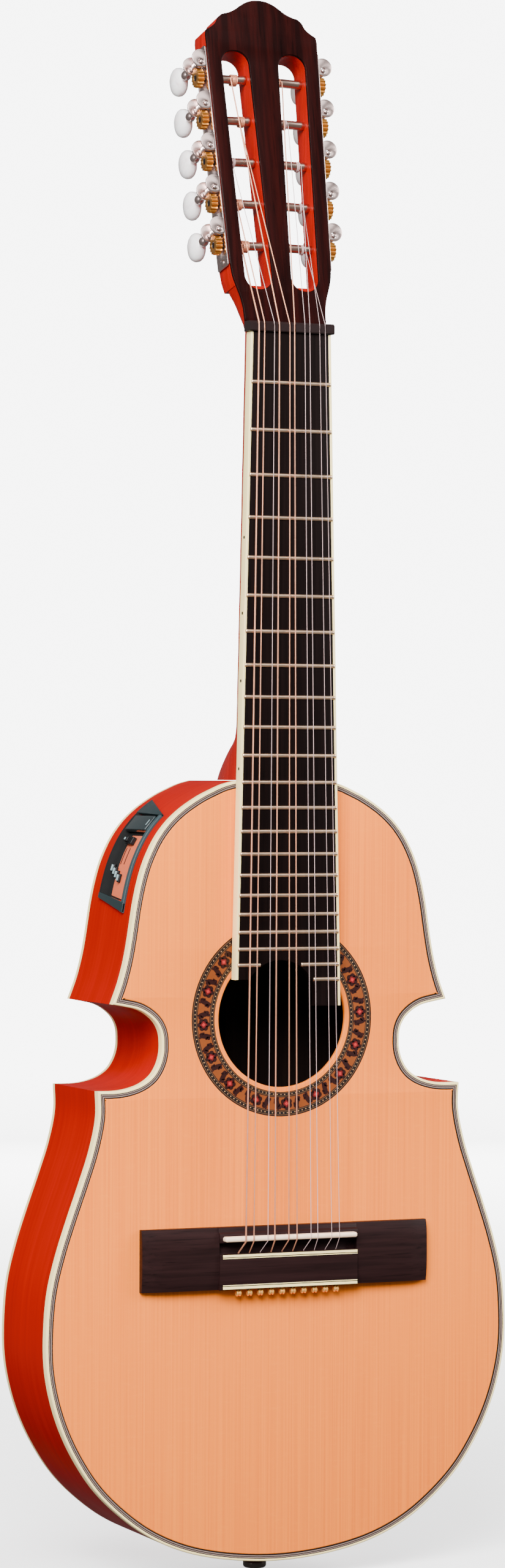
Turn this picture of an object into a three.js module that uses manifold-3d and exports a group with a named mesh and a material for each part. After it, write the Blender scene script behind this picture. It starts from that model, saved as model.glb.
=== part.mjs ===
// Ten-string cuatro with a violin-shaped body, slotted headstock and built-in preamp.
//
// Design frame used inside the group (millimetres): X across the neck towards the treble
// side, Y along the neck towards the headstock with 0 at the front edge of the nut, and Z
// out of the soundboard, whose surface is Z = 0. The exported group turns this upright:
// +Z up the neck, -Y out of the soundboard, origin on the centre line at the nut.
import * as THREE from 'three';
import { mergeVertices } from 'three/addons/utils/BufferGeometryUtils.js';
import Module from 'manifold-3d';

// ---------------------------------------------------------------- driving dimensions
const SCALE_LENGTH = 530;          // nut to theoretical saddle line
const BODY_DEPTH = 74;             // soundboard surface to back surface
const TOP_THICK = 3;
const BACK_THICK = 3;
const RIB_WALL = 4.4;              // rib with its lining
const BINDING_W = 1.5;
const BINDING_FRONT_H = 5.5;
const BINDING_BACK_H = 4;
const GAP = 0.3;                   // glue-line clearance between touching pieces
const HOLE_R = 40.8;
const HOLE_Y = -404.4;
const BODY_TOP_Y = -264.1;
const FB_TOP = 8.6;
const FB_BOTTOM = 1.6;
const FB_HALF_NUT = 24.1;          // inside the bindings
const FB_HALF_12 = 29.6;
const FB_BIND_W = 1.7;
const FB_END_BASS = -381;
const FB_END_TREBLE = -397;
const FB_ARCH = { x: -5, y: -393, r: 23.3 };
const FRET_H = 1.0;
const FRET_W = 2.2;
const NECK_TOP = 1.3;
const HEAD_TILT = 12.2;            // degrees back from the fingerboard plane
const HEAD_Y = 6;                  // start of the headstock face
const HEAD_Z = 1.04;
const PLATE_T = 2.0;               // headstock face plate
const HEAD_THICK = 18.3;
const SIDE_ANGLE = 1.5;            // flare of each headstock side, degrees
const SIDE_X = 34.34;              // half width at post 3
const POST_V0 = 101.6;             // post 3 along the headstock
const POST_PITCH = 26.05;
const POST_W = -9;                 // post axis below the headstock face
const GEAR_TEETH = 14;
const LEAD = 2.38;                 // worm lead = gear circular pitch
const GEAR_TIP = 5.9, GEAR_ROOT = 4.85;
const WORM_TIP = 2.75, WORM_ROOT = 1.6;
const CENTRES = 7.9;               // worm axis to post axis
const GEAR_U = 4.0;                // gear mid-plane outside the headstock side
const BRIDGE_HALF = 92.1;
const BRIDGE_X = 1.6;
const BRIDGE_FRONT = -526.2, BRIDGE_REAR = -562.8;
const SADDLE_Y = -532.8;
const NUT_X = [-21.4, -17.8, -11.4, -8.2, -1.5, 1.5, 8.2, 11.4, 17.8, 21.4];
const SADDLE_X = [-30.2, -25.1, -16.1, -11.7, -2.65, 2.65, 11.7, 16.1, 25.1, 30.2].map((x) => x + BRIDGE_X);
const TIE_X = [-31.5, -24.5, -17.5, -10.5, -3.5, 3.5, 10.5, 17.5, 24.5, 31.5].map((x) => x + BRIDGE_X);
const STRING_R = [0.48, 0.36, 0.2, 0.42, 0.34, 0.36, 0.2, 0.2, 0.17, 0.17];
// string -> [side, row counted from the nut end 0..4, landing x on the roller]
const STRING_POST = [
  [-1, 0, -22.2], [-1, 1, -22.8], [-1, 2, -23.6], [-1, 4, -20.0], [-1, 3, -16.8],
  [1, 4, 13.5], [1, 3, 15.2], [1, 2, 21.5], [1, 1, 20.8], [1, 0, 19.6],
];
const PREAMP = { y0: -281, y1: -338, z0: -56, z1: -15 };
const ENDPIN_Z = -37;

// Right half of the body outline, from the neck joint to the tail, corners as single points.
const HALF = [
  [0, BODY_TOP_Y], [30, BODY_TOP_Y], [38, -266.2], [46, -269.6], [53.2, -273.1], [64.6, -280.4],
  [72.9, -287.7], [78.9, -295.0], [83.4, -302.4], [88.3, -313.4], [91.6, -324.4], [94.2, -336.5],
  [95.8, -346.5], [97.5, -357.5], [99.6, -368.6], [103.2, -382.0], [107.9, -394.6],
  [99.0, -396.2], [91.5, -398.0], [85.5, -401.2], [80.5, -405.8], [77.6, -411.5], [76.8, -418.0],
  [77.2, -424.5], [79.3, -431.0], [83.2, -436.8], [89.5, -441.2], [98.0, -444.0], [106.0, -445.0],
  [116.9, -445.0],
  [116.6, -460.0], [120.5, -479.0], [127.0, -498.5], [134.2, -518.5], [141.0, -539.0],
  [146.2, -560.0], [148.3, -582.0], [148.0, -604.0], [144.6, -623.0], [138.5, -641.5],
  [129.5, -659.5], [117.5, -677.0], [102.5, -692.0], [84.0, -705.6], [62.0, -715.8],
  [35.0, -722.3], [0, -725.2],
];

// ---------------------------------------------------------------- solid helpers
const wasm = await Module();
wasm.setup();

function toSolid(geometry) {
  const g = geometry.clone();
  for (const name of Object.keys(g.attributes)) if (name !== 'position') g.deleteAttribute(name);
  g.clearGroups();
  const m = mergeVertices(g, 1e-4);
  return new wasm.Manifold(new wasm.Mesh({
    numProp: 3,
    vertProperties: new Float32Array(m.attributes.position.array),
    triVerts: new Uint32Array(m.index.array),
  }));
}

function toGeometry(solid) {
  const mesh = solid.getMesh();
  const g = new THREE.BufferGeometry();
  const n = mesh.vertProperties.length / mesh.numProp;
  const pos = new Float32Array(n * 3);
  for (let i = 0; i < n; i++) {
    for (let k = 0; k < 3; k++) pos[3 * i + k] = mesh.vertProperties[i * mesh.numProp + k];
  }
  g.setAttribute('position', new THREE.BufferAttribute(pos, 3));
  g.setIndex(new THREE.BufferAttribute(new Uint32Array(mesh.triVerts), 1));
  g.computeVertexNormals();
  return g;
}

function fromTriangles(points, tris) {
  const g = new THREE.BufferGeometry();
  g.setAttribute('position', new THREE.BufferAttribute(new Float32Array(points.flat()), 3));
  g.setIndex(tris.flat());
  const m = mergeVertices(g, 1e-5);
  m.computeVertexNormals();
  return m;
}

function signedVolume(points, tris) {
  let v = 0;
  for (const [a, b, c] of tris) {
    const A = points[a], B = points[b], C = points[c];
    v += A[0] * (B[1] * C[2] - B[2] * C[1]) - A[1] * (B[0] * C[2] - B[2] * C[0]) + A[2] * (B[0] * C[1] - B[1] * C[0]);
  }
  return v / 6;
}

// Closed skin over a row of equal-count rings; flat caps from the section polygon unless the
// row closes on itself. section is the 2-D polygon used to triangulate the caps.
function loft(rings, section, closed = false) {
  const n = rings[0].length;
  const points = rings.flat();
  const tris = [];
  const rows = closed ? rings.length : rings.length - 1;
  for (let i = 0; i < rows; i++) {
    const r0 = i * n, r1 = ((i + 1) % rings.length) * n;
    for (let k = 0; k < n; k++) {
      const k1 = (k + 1) % n;
      tris.push([r0 + k, r1 + k, r1 + k1], [r0 + k, r1 + k1, r0 + k1]);
    }
  }
  if (!closed) {
    const faces = THREE.ShapeUtils.triangulateShape(section.map(([a, b]) => new THREE.Vector2(a, b)), []);
    const last = (rings.length - 1) * n;
    // The cap winding is matched to the skin through the shared edge 0-1.
    let flip = false;
    for (const f of faces) {
      for (let e = 0; e < 3; e++) {
        if (f[e] === 0 && f[(e + 1) % 3] === 1) flip = true;
      }
    }
    for (const [a, b, c] of faces) {
      const cap = flip ? [a, b, c] : [a, c, b];
      tris.push(cap, [last + cap[0], last + cap[2], last + cap[1]]);
    }
  }
  if (signedVolume(points, tris) < 0) for (const t of tris) t.reverse();
  return fromTriangles(points, tris);
}

function prism(outline, z0, z1, holes = []) {
  const shape = new THREE.Shape(outline.map(([x, y]) => new THREE.Vector2(x, y)));
  for (const h of holes) shape.holes.push(new THREE.Path(h.map(([x, y]) => new THREE.Vector2(x, y))));
  const g = new THREE.ExtrudeGeometry(shape, { depth: z1 - z0, bevelEnabled: false, curveSegments: 1 });
  g.translate(0, 0, z0);
  return g;
}

function box(x0, x1, y0, y1, z0, z1) {
  const g = new THREE.BoxGeometry(x1 - x0, y1 - y0, z1 - z0);
  g.translate((x0 + x1) / 2, (y0 + y1) / 2, (z0 + z1) / 2);
  return g;
}

// Cylinder along an axis letter, between two stations on that axis.
function rod(axis, a, b, c0, c1, r, n = 12, phase = 0) {
  const g = new THREE.CylinderGeometry(r, r, c1 - c0, n, 1);
  g.rotateY(phase);
  if (axis === 'x') g.rotateZ(-Math.PI / 2);
  if (axis === 'z') g.rotateX(Math.PI / 2);
  const m = (c0 + c1) / 2;
  if (axis === 'x') g.translate(m, a, b);
  if (axis === 'y') g.translate(a, m, b);
  if (axis === 'z') g.translate(a, b, m);
  return g;
}

function circle(x, y, r, n, phase = 0) {
  const out = [];
  for (let i = 0; i < n; i++) {
    const t = phase + (2 * Math.PI * i) / n;
    out.push([x + r * Math.cos(t), y + r * Math.sin(t)]);
  }
  return out;
}

const join = (...gs) => gs.map((g) => (g.isBufferGeometry ? toSolid(g) : g)).reduce((a, b) => a.add(b));
const cut = (a, ...bs) => bs.reduce((s, b) => s.subtract(b.isBufferGeometry ? toSolid(b) : b), a.isBufferGeometry ? toSolid(a) : a);

const rad = (d) => (d * Math.PI) / 180;

// ---------------------------------------------------------------- outline helpers
const mirrored = HALF.slice(1, -1).reverse().map(([x, y]) => [-x, y]);
const FULL = [...HALF, ...mirrored];        // clockwise seen from the front

// Offsets a closed outline inwards by d with mitred corners.
function offset(points, d) {
  const n = points.length;
  return points.map((p, i) => {
    const a = points[(i + n - 1) % n], b = points[(i + 1) % n];
    const e1 = new THREE.Vector2(p[0] - a[0], p[1] - a[1]).normalize();
    const e2 = new THREE.Vector2(b[0] - p[0], b[1] - p[1]).normalize();
    const n1 = new THREE.Vector2(e1.y, -e1.x), n2 = new THREE.Vector2(e2.y, -e2.x);
    const m = n1.clone().add(n2).divideScalar(1 + n1.dot(n2));
    return [p[0] + m.x * d, p[1] + m.y * d];
  });
}

// A wall that follows the body outline. section is a polygon of [inward offset, z].
function outlineWall(section, from, to) {
  const curves = section.map(([o]) => offset(FULL, o));
  const closed = from === undefined;
  const idx = closed ? FULL.map((_, i) => i) : Array.from({ length: to - from + 1 }, (_, i) => (from + i) % FULL.length);
  const rings = idx.map((i) => section.map(([, z], k) => [curves[k][i][0], curves[k][i][1], z]));
  if (!closed) {
    for (const ring of [rings[0], rings[rings.length - 1]]) {
      const side = rings[1][0][0] > 0 ? 1 : -1;
      for (const p of ring) p[0] = 0.15 * side;
    }
  }
  return loft(rings, section, closed);
}

const halfAt = (y) => {
  const list = HALF.filter((p) => p[0] > 0 || p[1] > -500);
  for (let i = 1; i < HALF.length; i++) {
    if (HALF[i][1] <= y && HALF[i - 1][1] >= y && HALF[i][1] !== HALF[i - 1][1]) {
      const t = (y - HALF[i - 1][1]) / (HALF[i][1] - HALF[i - 1][1]);
      return HALF[i - 1][0] + t * (HALF[i][0] - HALF[i - 1][0]);
    }
  }
  return list[0][0];
};

// ---------------------------------------------------------------- materials
const mat = (color, roughness, metalness = 0) => new THREE.MeshStandardMaterial({ color, roughness, metalness });
const SPRUCE = 0xe3b184, MAHOGANY = 0xa52a0e, ROSEWOOD = 0x2b1512, CREAM = 0xf2e2b8;
const NICKEL = 0xc9c4c0, BRASS = 0xb98a3c, PEARL = 0xf3ecec, BONE = 0xf4efe2, BRONZE = 0xc98a5c, STEEL = 0xd8d4d0;

const cuatro = new THREE.Group();
const design = new THREE.Group();
design.rotation.x = Math.PI / 2;
cuatro.add(design);

function add(parent, name, geometry, material) {
  const g = geometry.isBufferGeometry ? geometry : toGeometry(geometry);
  const m = new THREE.Mesh(g, material);
  m.name = name;
  parent.add(m);
  return m;
}

// ---------------------------------------------------------------- body shell
const topOutline = offset(FULL, BINDING_W + GAP);
add(design, 'soundboard', prism(topOutline, -TOP_THICK, 0, [circle(0, HOLE_Y, HOLE_R, 32)]), mat(SPRUCE, 0.45));
add(design, 'back_plate', prism(topOutline, -BODY_DEPTH, -BODY_DEPTH + BACK_THICK), mat(MAHOGANY, 0.25));

const ribSection = [
  [0, -BINDING_FRONT_H - GAP], [BINDING_W + GAP, -BINDING_FRONT_H - GAP], [BINDING_W + GAP, -TOP_THICK - GAP],
  [RIB_WALL, -TOP_THICK - GAP], [RIB_WALL, -BODY_DEPTH + BINDING_BACK_H + GAP], [0, -BODY_DEPTH + BINDING_BACK_H + GAP],
];
const last = HALF.length - 1;
const endpinHole = rod('y', 0, ENDPIN_Z, -740, -700, 6.0, 16);

// Points on the bass side of the outline between two heights, with outward normals.
function bassStations(y0, y1, count) {
  const out = [];
  for (let i = 0; i < count; i++) {
    const y = y0 + ((y1 - y0) * i) / (count - 1);
    const p = [-halfAt(y), y];
    const q = [-halfAt(y - 4), y - 4], s = [-halfAt(y + 4), y + 4];
    const t = new THREE.Vector2(q[0] - s[0], q[1] - s[1]).normalize();
    out.push({ p, n: new THREE.Vector2(t.y, -t.x), t });
  }
  return out;
}
function bassWall(ys, sectionAt) {
  const rings = ys.map((y, i) => {
    const [s] = bassStations(y, y - 1, 2);
    return sectionAt(i, y).map(([o, z]) => [s.p[0] - s.n.x * o, s.p[1] - s.n.y * o, z]);
  });
  return loft(rings, sectionAt(0, ys[0]));
}
const steps = (a, b, n) => Array.from({ length: n }, (_, i) => a + ((b - a) * i) / (n - 1));
const preampHole = bassWall(steps(PREAMP.y0 - 2.2, PREAMP.y1 + 2.2, 9), () => [
  [-6, PREAMP.z0 + 2.5], [16, PREAMP.z0 + 2.5], [16, PREAMP.z1 - 2.5], [-6, PREAMP.z1 - 2.5]]);

add(design, 'rib_treble', cut(outlineWall(ribSection, 0, last), endpinHole), mat(MAHOGANY, 0.2));
add(design, 'rib_bass', cut(outlineWall(ribSection, last, FULL.length), endpinHole, preampHole), mat(MAHOGANY, 0.2));
const rectSection = (w, z0, z1) => [[0, z0], [w, z0], [w, z1], [0, z1]];
add(design, 'binding_front', outlineWall(rectSection(BINDING_W, -BINDING_FRONT_H, 0)), mat(CREAM, 0.35));
add(design, 'binding_back', outlineWall(rectSection(BINDING_W, -BODY_DEPTH, -BODY_DEPTH + BINDING_BACK_H)), mat(CREAM, 0.35));

// ---------------------------------------------------------------- inside the body
const inTop = -TOP_THICK - GAP, inBack = -BODY_DEPTH + BACK_THICK + GAP;
add(design, 'neck_block', box(-27, 27, -296, -270.5, inBack, inTop), mat(MAHOGANY, 0.8));
add(design, 'tail_block', cut(box(-22, 22, -718.3, -704, inBack, inTop), endpinHole), mat(MAHOGANY, 0.8));
add(design, 'top_bracing', join(
  box(-84, 84, -356, -348, inTop - 7, inTop), box(-104, 104, -462, -454, inTop - 7, inTop),
  box(-54, -48, -455, -350, inTop - 6, inTop), box(48, 54, -455, -350, inTop - 6, inTop),
  box(-70, 70, -566, -521, inTop - 3, inTop), box(-3, 3, -690, -458, inTop - 6, inTop),
  box(-46, -40, -660, -458, inTop - 6, inTop), box(40, 46, -660, -458, inTop - 6, inTop)), mat(SPRUCE, 0.8));
add(design, 'back_bracing', join(
  box(-78, 78, -334, -326, inBack, inBack + 9), box(-108, 108, -474, -466, inBack, inBack + 9),
  box(-134, 134, -605, -595, inBack, inBack + 9), box(-7, 7, -700, -300, inBack, inBack + 2.4)), mat(SPRUCE, 0.8));

// ---------------------------------------------------------------- headstock outlines
const sideX = (v) => SIDE_X + Math.tan(rad(SIDE_ANGLE)) * (v - POST_V0);
const crownHalf = [
  [sideX(178), 178], [35.9, 181.4], [32.4, 183.6], [29.2, 186.4], [27.2, 190.2], [24.6, 192.2], [20.4, 193.4],
  [16.6, 195.2], [12.4, 198.2], [8.4, 200.6], [4.2, 202.0], [0, 202.4],
];
const lowHalf = [[26.2, 0.5], [26.6, 9], [27.9, 16], [30.0, 22.5], [31.7, 28.5], [sideX(37), 37]];
function headOutline(low) {
  const right = [...low, ...crownHalf];
  return [...right, ...right.slice(0, -1).reverse().map(([x, y]) => [-x, y])];
}
// Position in the headstock frame of a point in a side rail's own frame: u outwards, v along.
const rail = (side, u, v) => {
  const a = rad(SIDE_ANGLE);
  const x = SIDE_X + u * Math.cos(a) + v * Math.sin(a);
  return [side * x, POST_V0 - u * Math.sin(a) + v * Math.cos(a)];
};
const SLOT = { u0: -26.4, u1: -8.4, v0: -81.4, v1: 67.4, r: 8.6 };
function slotOutline(side, grow = 0) {
  const { u0, u1, v0, v1, r } = SLOT;
  const pts = [];
  const arc = (cu, cv, a0) => {
    for (let i = 0; i <= 4; i++) {
      const t = a0 + (i * Math.PI) / 8;
      pts.push(rail(side, cu + (r + grow) * Math.cos(t), cv + (r + grow) * Math.sin(t)));
    }
  };
  arc(u1 - r, v0 + r, -Math.PI / 2);
  arc(u1 - r, v1 - r, 0);
  arc(u0 + r, v1 - r, Math.PI / 2);
  arc(u0 + r, v0 + r, Math.PI);
  return side > 0 ? pts : pts.reverse();
}

const head = new THREE.Group();
head.position.set(0, HEAD_Y, HEAD_Z);
head.rotation.x = -rad(HEAD_TILT);
design.add(head);
head.updateMatrix();

add(head, 'headplate', prism(headOutline(lowHalf), -PLATE_T, 0, [slotOutline(1), slotOutline(-1)]), mat(ROSEWOOD, 0.4));

// ---------------------------------------------------------------- neck, heel and headstock core
const ARC = 14;
function dRing(a, b, n, place) {
  const ring = [];
  for (let k = 0; k <= ARC; k++) {
    const t = (Math.PI * k) / ARC;
    const c = Math.cos(t), s = Math.sin(t);
    ring.push(place(a * Math.sign(c) * Math.abs(c) ** (2 / n), -b * Math.abs(s) ** (2 / n)));
  }
  return ring;
}
const neckHalf = (y) => 25.3 + (4.9 * -y) / 265;
const neckStations = [
  [-263.8, 72, 2.0], [-258, 66, 2.0], [-252, 57, 2.0], [-246, 45, 2.0], [-242, 33, 2.05], [-238.5, 24.5, 2.1],
  [-233, 19.6, 2.15], [-222, 18, 2.2], [-120, 16.8, 2.2], [0, 15.6, 2.2],
];
const neckRings = neckStations.map(([y, b, n]) => dRing(neckHalf(y), b, n, (x, z) => [x, y, NECK_TOP + z]));
const inHead = (x, v, w) => new THREE.Vector3(x, v, w).applyMatrix4(head.matrix).toArray();
for (const [v, a, n] of [[1.2, 25.4, 2.4], [9, 26.4, 3.6], [16, 27.8, 5], [23, 30.0, 8]]) {
  neckRings.push(dRing(a, HEAD_THICK - PLATE_T - GAP, n, (x, z) => inHead(x, v, -PLATE_T - GAP + z)));
}
const neckSection = dRing(30, 20, 2.2, (x, z) => [x, z]);
let neckSolid = join(
  loft(neckRings, neckSection),
  box(-22.5, 22.5, -6, 5.9, -8, NECK_TOP),
);
const coreOutline = headOutline([[30.3, 22.8], [31.7, 28.5], [sideX(37), 37]]);
let core = prism(coreOutline, -HEAD_THICK, -PLATE_T - GAP);
core.applyMatrix4(head.matrix);
neckSolid = neckSolid.add(toSolid(core));
const cutters = [];
for (const side of [-1, 1]) {
  const g = prism(slotOutline(side), -30, 5);
  g.applyMatrix4(head.matrix);
  cutters.push(g);
  for (let i = 0; i < 5; i++) {
    const v = (i - 2) * POST_PITCH;
    for (const [u0, u1, r] of [[-29.8, -20, 2.3], [-15, 6, 3.1]]) {
      const c = new THREE.CylinderGeometry(r, r, u1 - u0, 10, 1);
      c.rotateZ(-Math.PI / 2);
      c.translate((u0 + u1) / 2, v, POST_W);
      if (side < 0) c.applyMatrix4(new THREE.Matrix4().makeRotationZ(Math.PI)).translate(0, 2 * v, 0);
      c.rotateZ(-side * rad(SIDE_ANGLE));
      c.translate(side * SIDE_X, POST_V0, 0);
      c.applyMatrix4(head.matrix);
      cutters.push(c);
    }
  }
}
neckSolid = cut(neckSolid, ...cutters);
// the heel ends flat at the back plane, and a thin tongue carries the fingerboard over the body
neckSolid = cut(neckSolid, box(-60, 60, -300, -200, -130, -BODY_DEPTH + 0.2));
neckSolid = neckSolid.add(toSolid(box(-24, 24, -362, -255, GAP, NECK_TOP)));
add(design, 'neck', neckSolid, mat(MAHOGANY, 0.25));

// ---------------------------------------------------------------- fingerboard
const fbHalf = (y) => FB_HALF_NUT + ((FB_HALF_12 - FB_HALF_NUT) * -y) / (SCALE_LENGTH / 2);
const fretY = (n) => -SCALE_LENGTH * (1 - 2 ** (-n / 12));
const archPts = [];
{
  const a0 = Math.atan2(FB_END_TREBLE - FB_ARCH.y, Math.sqrt(FB_ARCH.r ** 2 - (FB_END_TREBLE - FB_ARCH.y) ** 2));
  const a1 = Math.PI - Math.asin((FB_END_BASS - FB_ARCH.y) / FB_ARCH.r);
  for (let i = 0; i <= 14; i++) {
    const t = a0 + ((a1 - a0) * i) / 14;
    archPts.push([FB_ARCH.x + FB_ARCH.r * Math.cos(t), FB_ARCH.y + FB_ARCH.r * Math.sin(t)]);
  }
}
const fbOutline = [
  [-fbHalf(0), -0.3], [-fbHalf(FB_END_BASS), FB_END_BASS], ...archPts.slice().reverse(),
  [fbHalf(FB_END_TREBLE), FB_END_TREBLE], [fbHalf(0), -0.3],
];
const SPINE_T = 22, SPINE_B = -25.2;
const tangs = [];
for (let n = 1; n <= 22; n++) tangs.push([SPINE_T, fretY(n)]);
tangs.push([SPINE_B, fretY(20)], [SPINE_B, fretY(21)]);
let board = toSolid(prism(fbOutline, FB_BOTTOM, FB_TOP));
board = cut(board,
  box(SPINE_T - 1.1, SPINE_T + 1.1, fretY(22) - 1.5, fretY(1) + 1.5, FB_BOTTOM - 1, FB_BOTTOM + 1.3),
  box(SPINE_B - 1.1, SPINE_B + 1.1, fretY(21) - 1.5, fretY(20) + 1.5, FB_BOTTOM - 1, FB_BOTTOM + 1.3),
  ...tangs.map(([x, y]) => box(x - 1.1, x + 1.1, y - 0.7, y + 0.7, FB_BOTTOM + 1, FB_TOP + 1)));
add(design, 'fingerboard', board, mat(ROSEWOOD, 0.5));
for (const [name, side, end] of [['fingerboard_binding_bass', -1, FB_END_BASS], ['fingerboard_binding_treble', 1, FB_END_TREBLE]]) {
  const x = (y, o) => side * (fbHalf(y) + o);
  const quad = [[x(0, 0.15), -0.3], [x(end, 0.15), end], [x(end, FB_BIND_W), end], [x(0, FB_BIND_W), -0.3]];
  add(design, name, prism(side > 0 ? quad.reverse() : quad, FB_BOTTOM, FB_TOP), mat(CREAM, 0.35));
}

// Frets: crowns on the board, tied by tangs to a hidden spine in the board's underside.
function crown(x0, x1, y) {
  const z = FB_TOP + 0.1;
  const h = FRET_W / 2;
  const sec = [[-h, 0], [h, 0], [h * 0.62, FRET_H * 0.8], [-h * 0.62, FRET_H * 0.8]];
  return loft([x0, x1].map((x) => sec.map(([a, b]) => [x, y + a, z + b])), sec);
}
const fretParts = [];
const archAt = (y) => Math.sqrt(Math.max(0, FB_ARCH.r ** 2 - (y - FB_ARCH.y) ** 2));
for (let n = 1; n <= 22; n++) {
  const y = fretY(n), w = fbHalf(y) + (FB_BIND_W - 0.9);
  if (n <= 20) fretParts.push(crown(-w, w, y));
  else {
    fretParts.push(crown(FB_ARCH.x + archAt(y - 1) + 0.6, w, y));
    if (n === 21) fretParts.push(crown(-w, FB_ARCH.x - archAt(y - 1) - 0.6, y));
  }
}
for (const [x, y] of tangs) fretParts.push(box(x - 0.7, x + 0.7, y - 0.35, y + 0.35, FB_BOTTOM + 0.2, FB_TOP + 0.4));
fretParts.push(box(SPINE_T - 0.8, SPINE_T + 0.8, fretY(22) - 1, fretY(1) + 1, FB_BOTTOM + 0.1, FB_BOTTOM + 1.0));
fretParts.push(box(SPINE_B - 0.8, SPINE_B + 0.8, fretY(21) - 1, fretY(20) + 1, FB_BOTTOM + 0.1, FB_BOTTOM + 1.0));
add(design, 'frets', join(...fretParts), mat(0xd9cfa8, 0.3, 0.9));

// Nut with ten string notches
const NUT_HALF = 27.3, NUT_TOP = 10.6, STRING_NUT_Z = 10.05, STRING_SADDLE_Z = 13.4;
const nutSection = [[0, NECK_TOP + GAP], [6, NECK_TOP + GAP], [6, 9.4], [4.6, NUT_TOP], [0.6, NUT_TOP], [0, 10]];
add(design, 'nut', cut(
  loft([-NUT_HALF, NUT_HALF].map((x) => nutSection.map(([y, z]) => [x, y, z])), nutSection),
  ...NUT_X.map((x, i) => box(x - STRING_R[i] - 0.3, x + STRING_R[i] + 0.3, -2, 8, STRING_NUT_Z - STRING_R[i] - 0.75, 14))),
mat(ROSEWOOD, 0.35));

// ---------------------------------------------------------------- bridge, saddle and pickup
const block = [
  [BRIDGE_FRONT, GAP], [BRIDGE_FRONT, 5.4], [-527.2, 7.8], [-529.4, 8.4], [-535.0, 8.4], [-536.2, 3.8], [-541.7, 3.8],
  [-541.7, 8.4], [-562.2, 8.4], [BRIDGE_REAR, 7.8], [BRIDGE_REAR, GAP],
];
const wing = [[BRIDGE_FRONT, GAP], [BRIDGE_FRONT, 4.6], [-532, 6.9], [-545, 7.2], [-556, 6.8], [BRIDGE_REAR, 5.0], [BRIDGE_REAR, GAP]];
const scaled = (k) => wing.map(([y, z]) => [y, z > 1 ? GAP + (z - GAP) * k : z]);
const sweepX = (stations) => loft(stations.map(([x, sec]) => sec.map(([y, z]) => [x + BRIDGE_X, y, z])), stations[0][1]);
const saddleTurn = new THREE.Matrix4().makeTranslation(BRIDGE_X, SADDLE_Y, 0);
const slotBox = box(-42.3, 42.3, -1.85, 1.85, 2.4, 20);
slotBox.applyMatrix4(saddleTurn);
add(design, 'bridge', cut(join(
  sweepX([[-44.5, block], [44.5, block]]),
  sweepX([[44, wing], [80, scaled(0.92)], [BRIDGE_HALF, scaled(0.62)]]),
  sweepX([[-44, wing], [-80, scaled(0.92)], [-BRIDGE_HALF, scaled(0.62)]])),
slotBox, ...TIE_X.map((x) => rod('y', x, 5.4, -565, -538, 1.05, 8))), mat(ROSEWOOD, 0.4));
const saddleSec = [[-1.5, 4.1], [1.5, 4.1], [1.5, 12.0], [0.8, 12.7], [-0.8, 12.7], [-1.5, 12.0]];
const saddle = loft([-41.9, 41.9].map((x) => saddleSec.map(([y, z]) => [x, y, z])), saddleSec);
saddle.applyMatrix4(saddleTurn);
add(design, 'saddle', saddle, mat(BONE, 0.3));
const pickup = box(-41, 41, -1.2, 1.2, 2.7, 3.8);
pickup.applyMatrix4(saddleTurn);
add(design, 'saddle_pickup', pickup, mat(BRASS, 0.4, 0.8));

// ---------------------------------------------------------------- tuners
const GEAR_PHASE = 0;
function gearOutline() {
  const pts = [];
  for (let i = 0; i < GEAR_TEETH * 2; i++) {
    const t = (Math.PI * i) / GEAR_TEETH + GEAR_PHASE;
    const r = i % 2 === 0 ? GEAR_TIP : GEAR_ROOT;
    pts.push([r * Math.cos(t), r * Math.sin(t)]);
  }
  return pts;
}
// String post in the rail frame, axis along +u with its origin on the post axis at the side.
function postGeometry() {
  const r = (pts) => {
    const g = new THREE.LatheGeometry(pts.map(([a, b]) => new THREE.Vector2(a, b)), 10);
    g.rotateZ(-Math.PI / 2);
    return g;
  };
  // lathe profile: radius, position along u
  const shaft = r([[0, -29.3], [1.9, -29.3], [1.9, -26.0], [2.9, -26.0], [2.6, -18], [2.9, -9.3], [2.6, -9.3], [2.6, 2.6], [0, 2.6]]);
  const cog = prism(gearOutline(), 0, 4.2);   // extruded along z, tooth 0 towards +x
  cog.rotateY(Math.PI / 2);                   // z -> u(x), x -> -z
  cog.translate(GEAR_U - 2.1, 0, 0);
  return join(shaft, cog);
}
// Worm key: rings along w (local z). Threads where |w - POST_W| <= 1.5 leads.
function keyGeometry() {
  const n = 8, rings = [];
  const ring = (w, rx, ry = rx) => rings.push(Array.from({ length: n }, (_, k) => {
    const t = (2 * Math.PI * k) / n;
    const fx = typeof rx === 'function' ? rx(k) : rx;
    const fy = typeof rx === 'function' ? rx(k) : ry;
    return [fx * Math.cos(t), fy * Math.sin(t), w];
  }));
  ring(-0.9, 1.1); ring(-1.3, 1.4); ring(-3.4, 1.4); ring(-3.6, WORM_ROOT);
  for (let i = 5; i >= -5; i--) {
    const w = POST_W + (i * LEAD) / 4;
    ring(w, (k) => {
      if (Math.abs(i) === 5) return WORM_ROOT;
      // height of a V thread whose crest runs up one lead per turn
      let d = ((w - POST_W) / LEAD - k / n + 2.25) % 1;
      if (d < 0) d += 1;
      const h = Math.max(0, 1 - Math.abs(d - 0.5) * 4);
      return WORM_ROOT + (WORM_TIP - WORM_ROOT) * h;
    });
  }
  ring(-15.4, WORM_ROOT); ring(-15.6, 1.4);
  ring(-23.2, 1.5); ring(-24.4, 2.7); ring(-27.0, 2.8); ring(-28.6, 1.7);
  ring(-30.0, 2.6, 4.4); ring(-33.0, 4.1, 7.4); ring(-37.5, 4.7, 8.8); ring(-42.0, 4.0, 7.2); ring(-45.4, 1.9, 3.4);
  return loft(rings, circle(0, 0, 1, n));
}
const POST_GEO = toGeometry(postGeometry());
const KEY_GEO = keyGeometry();

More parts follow.
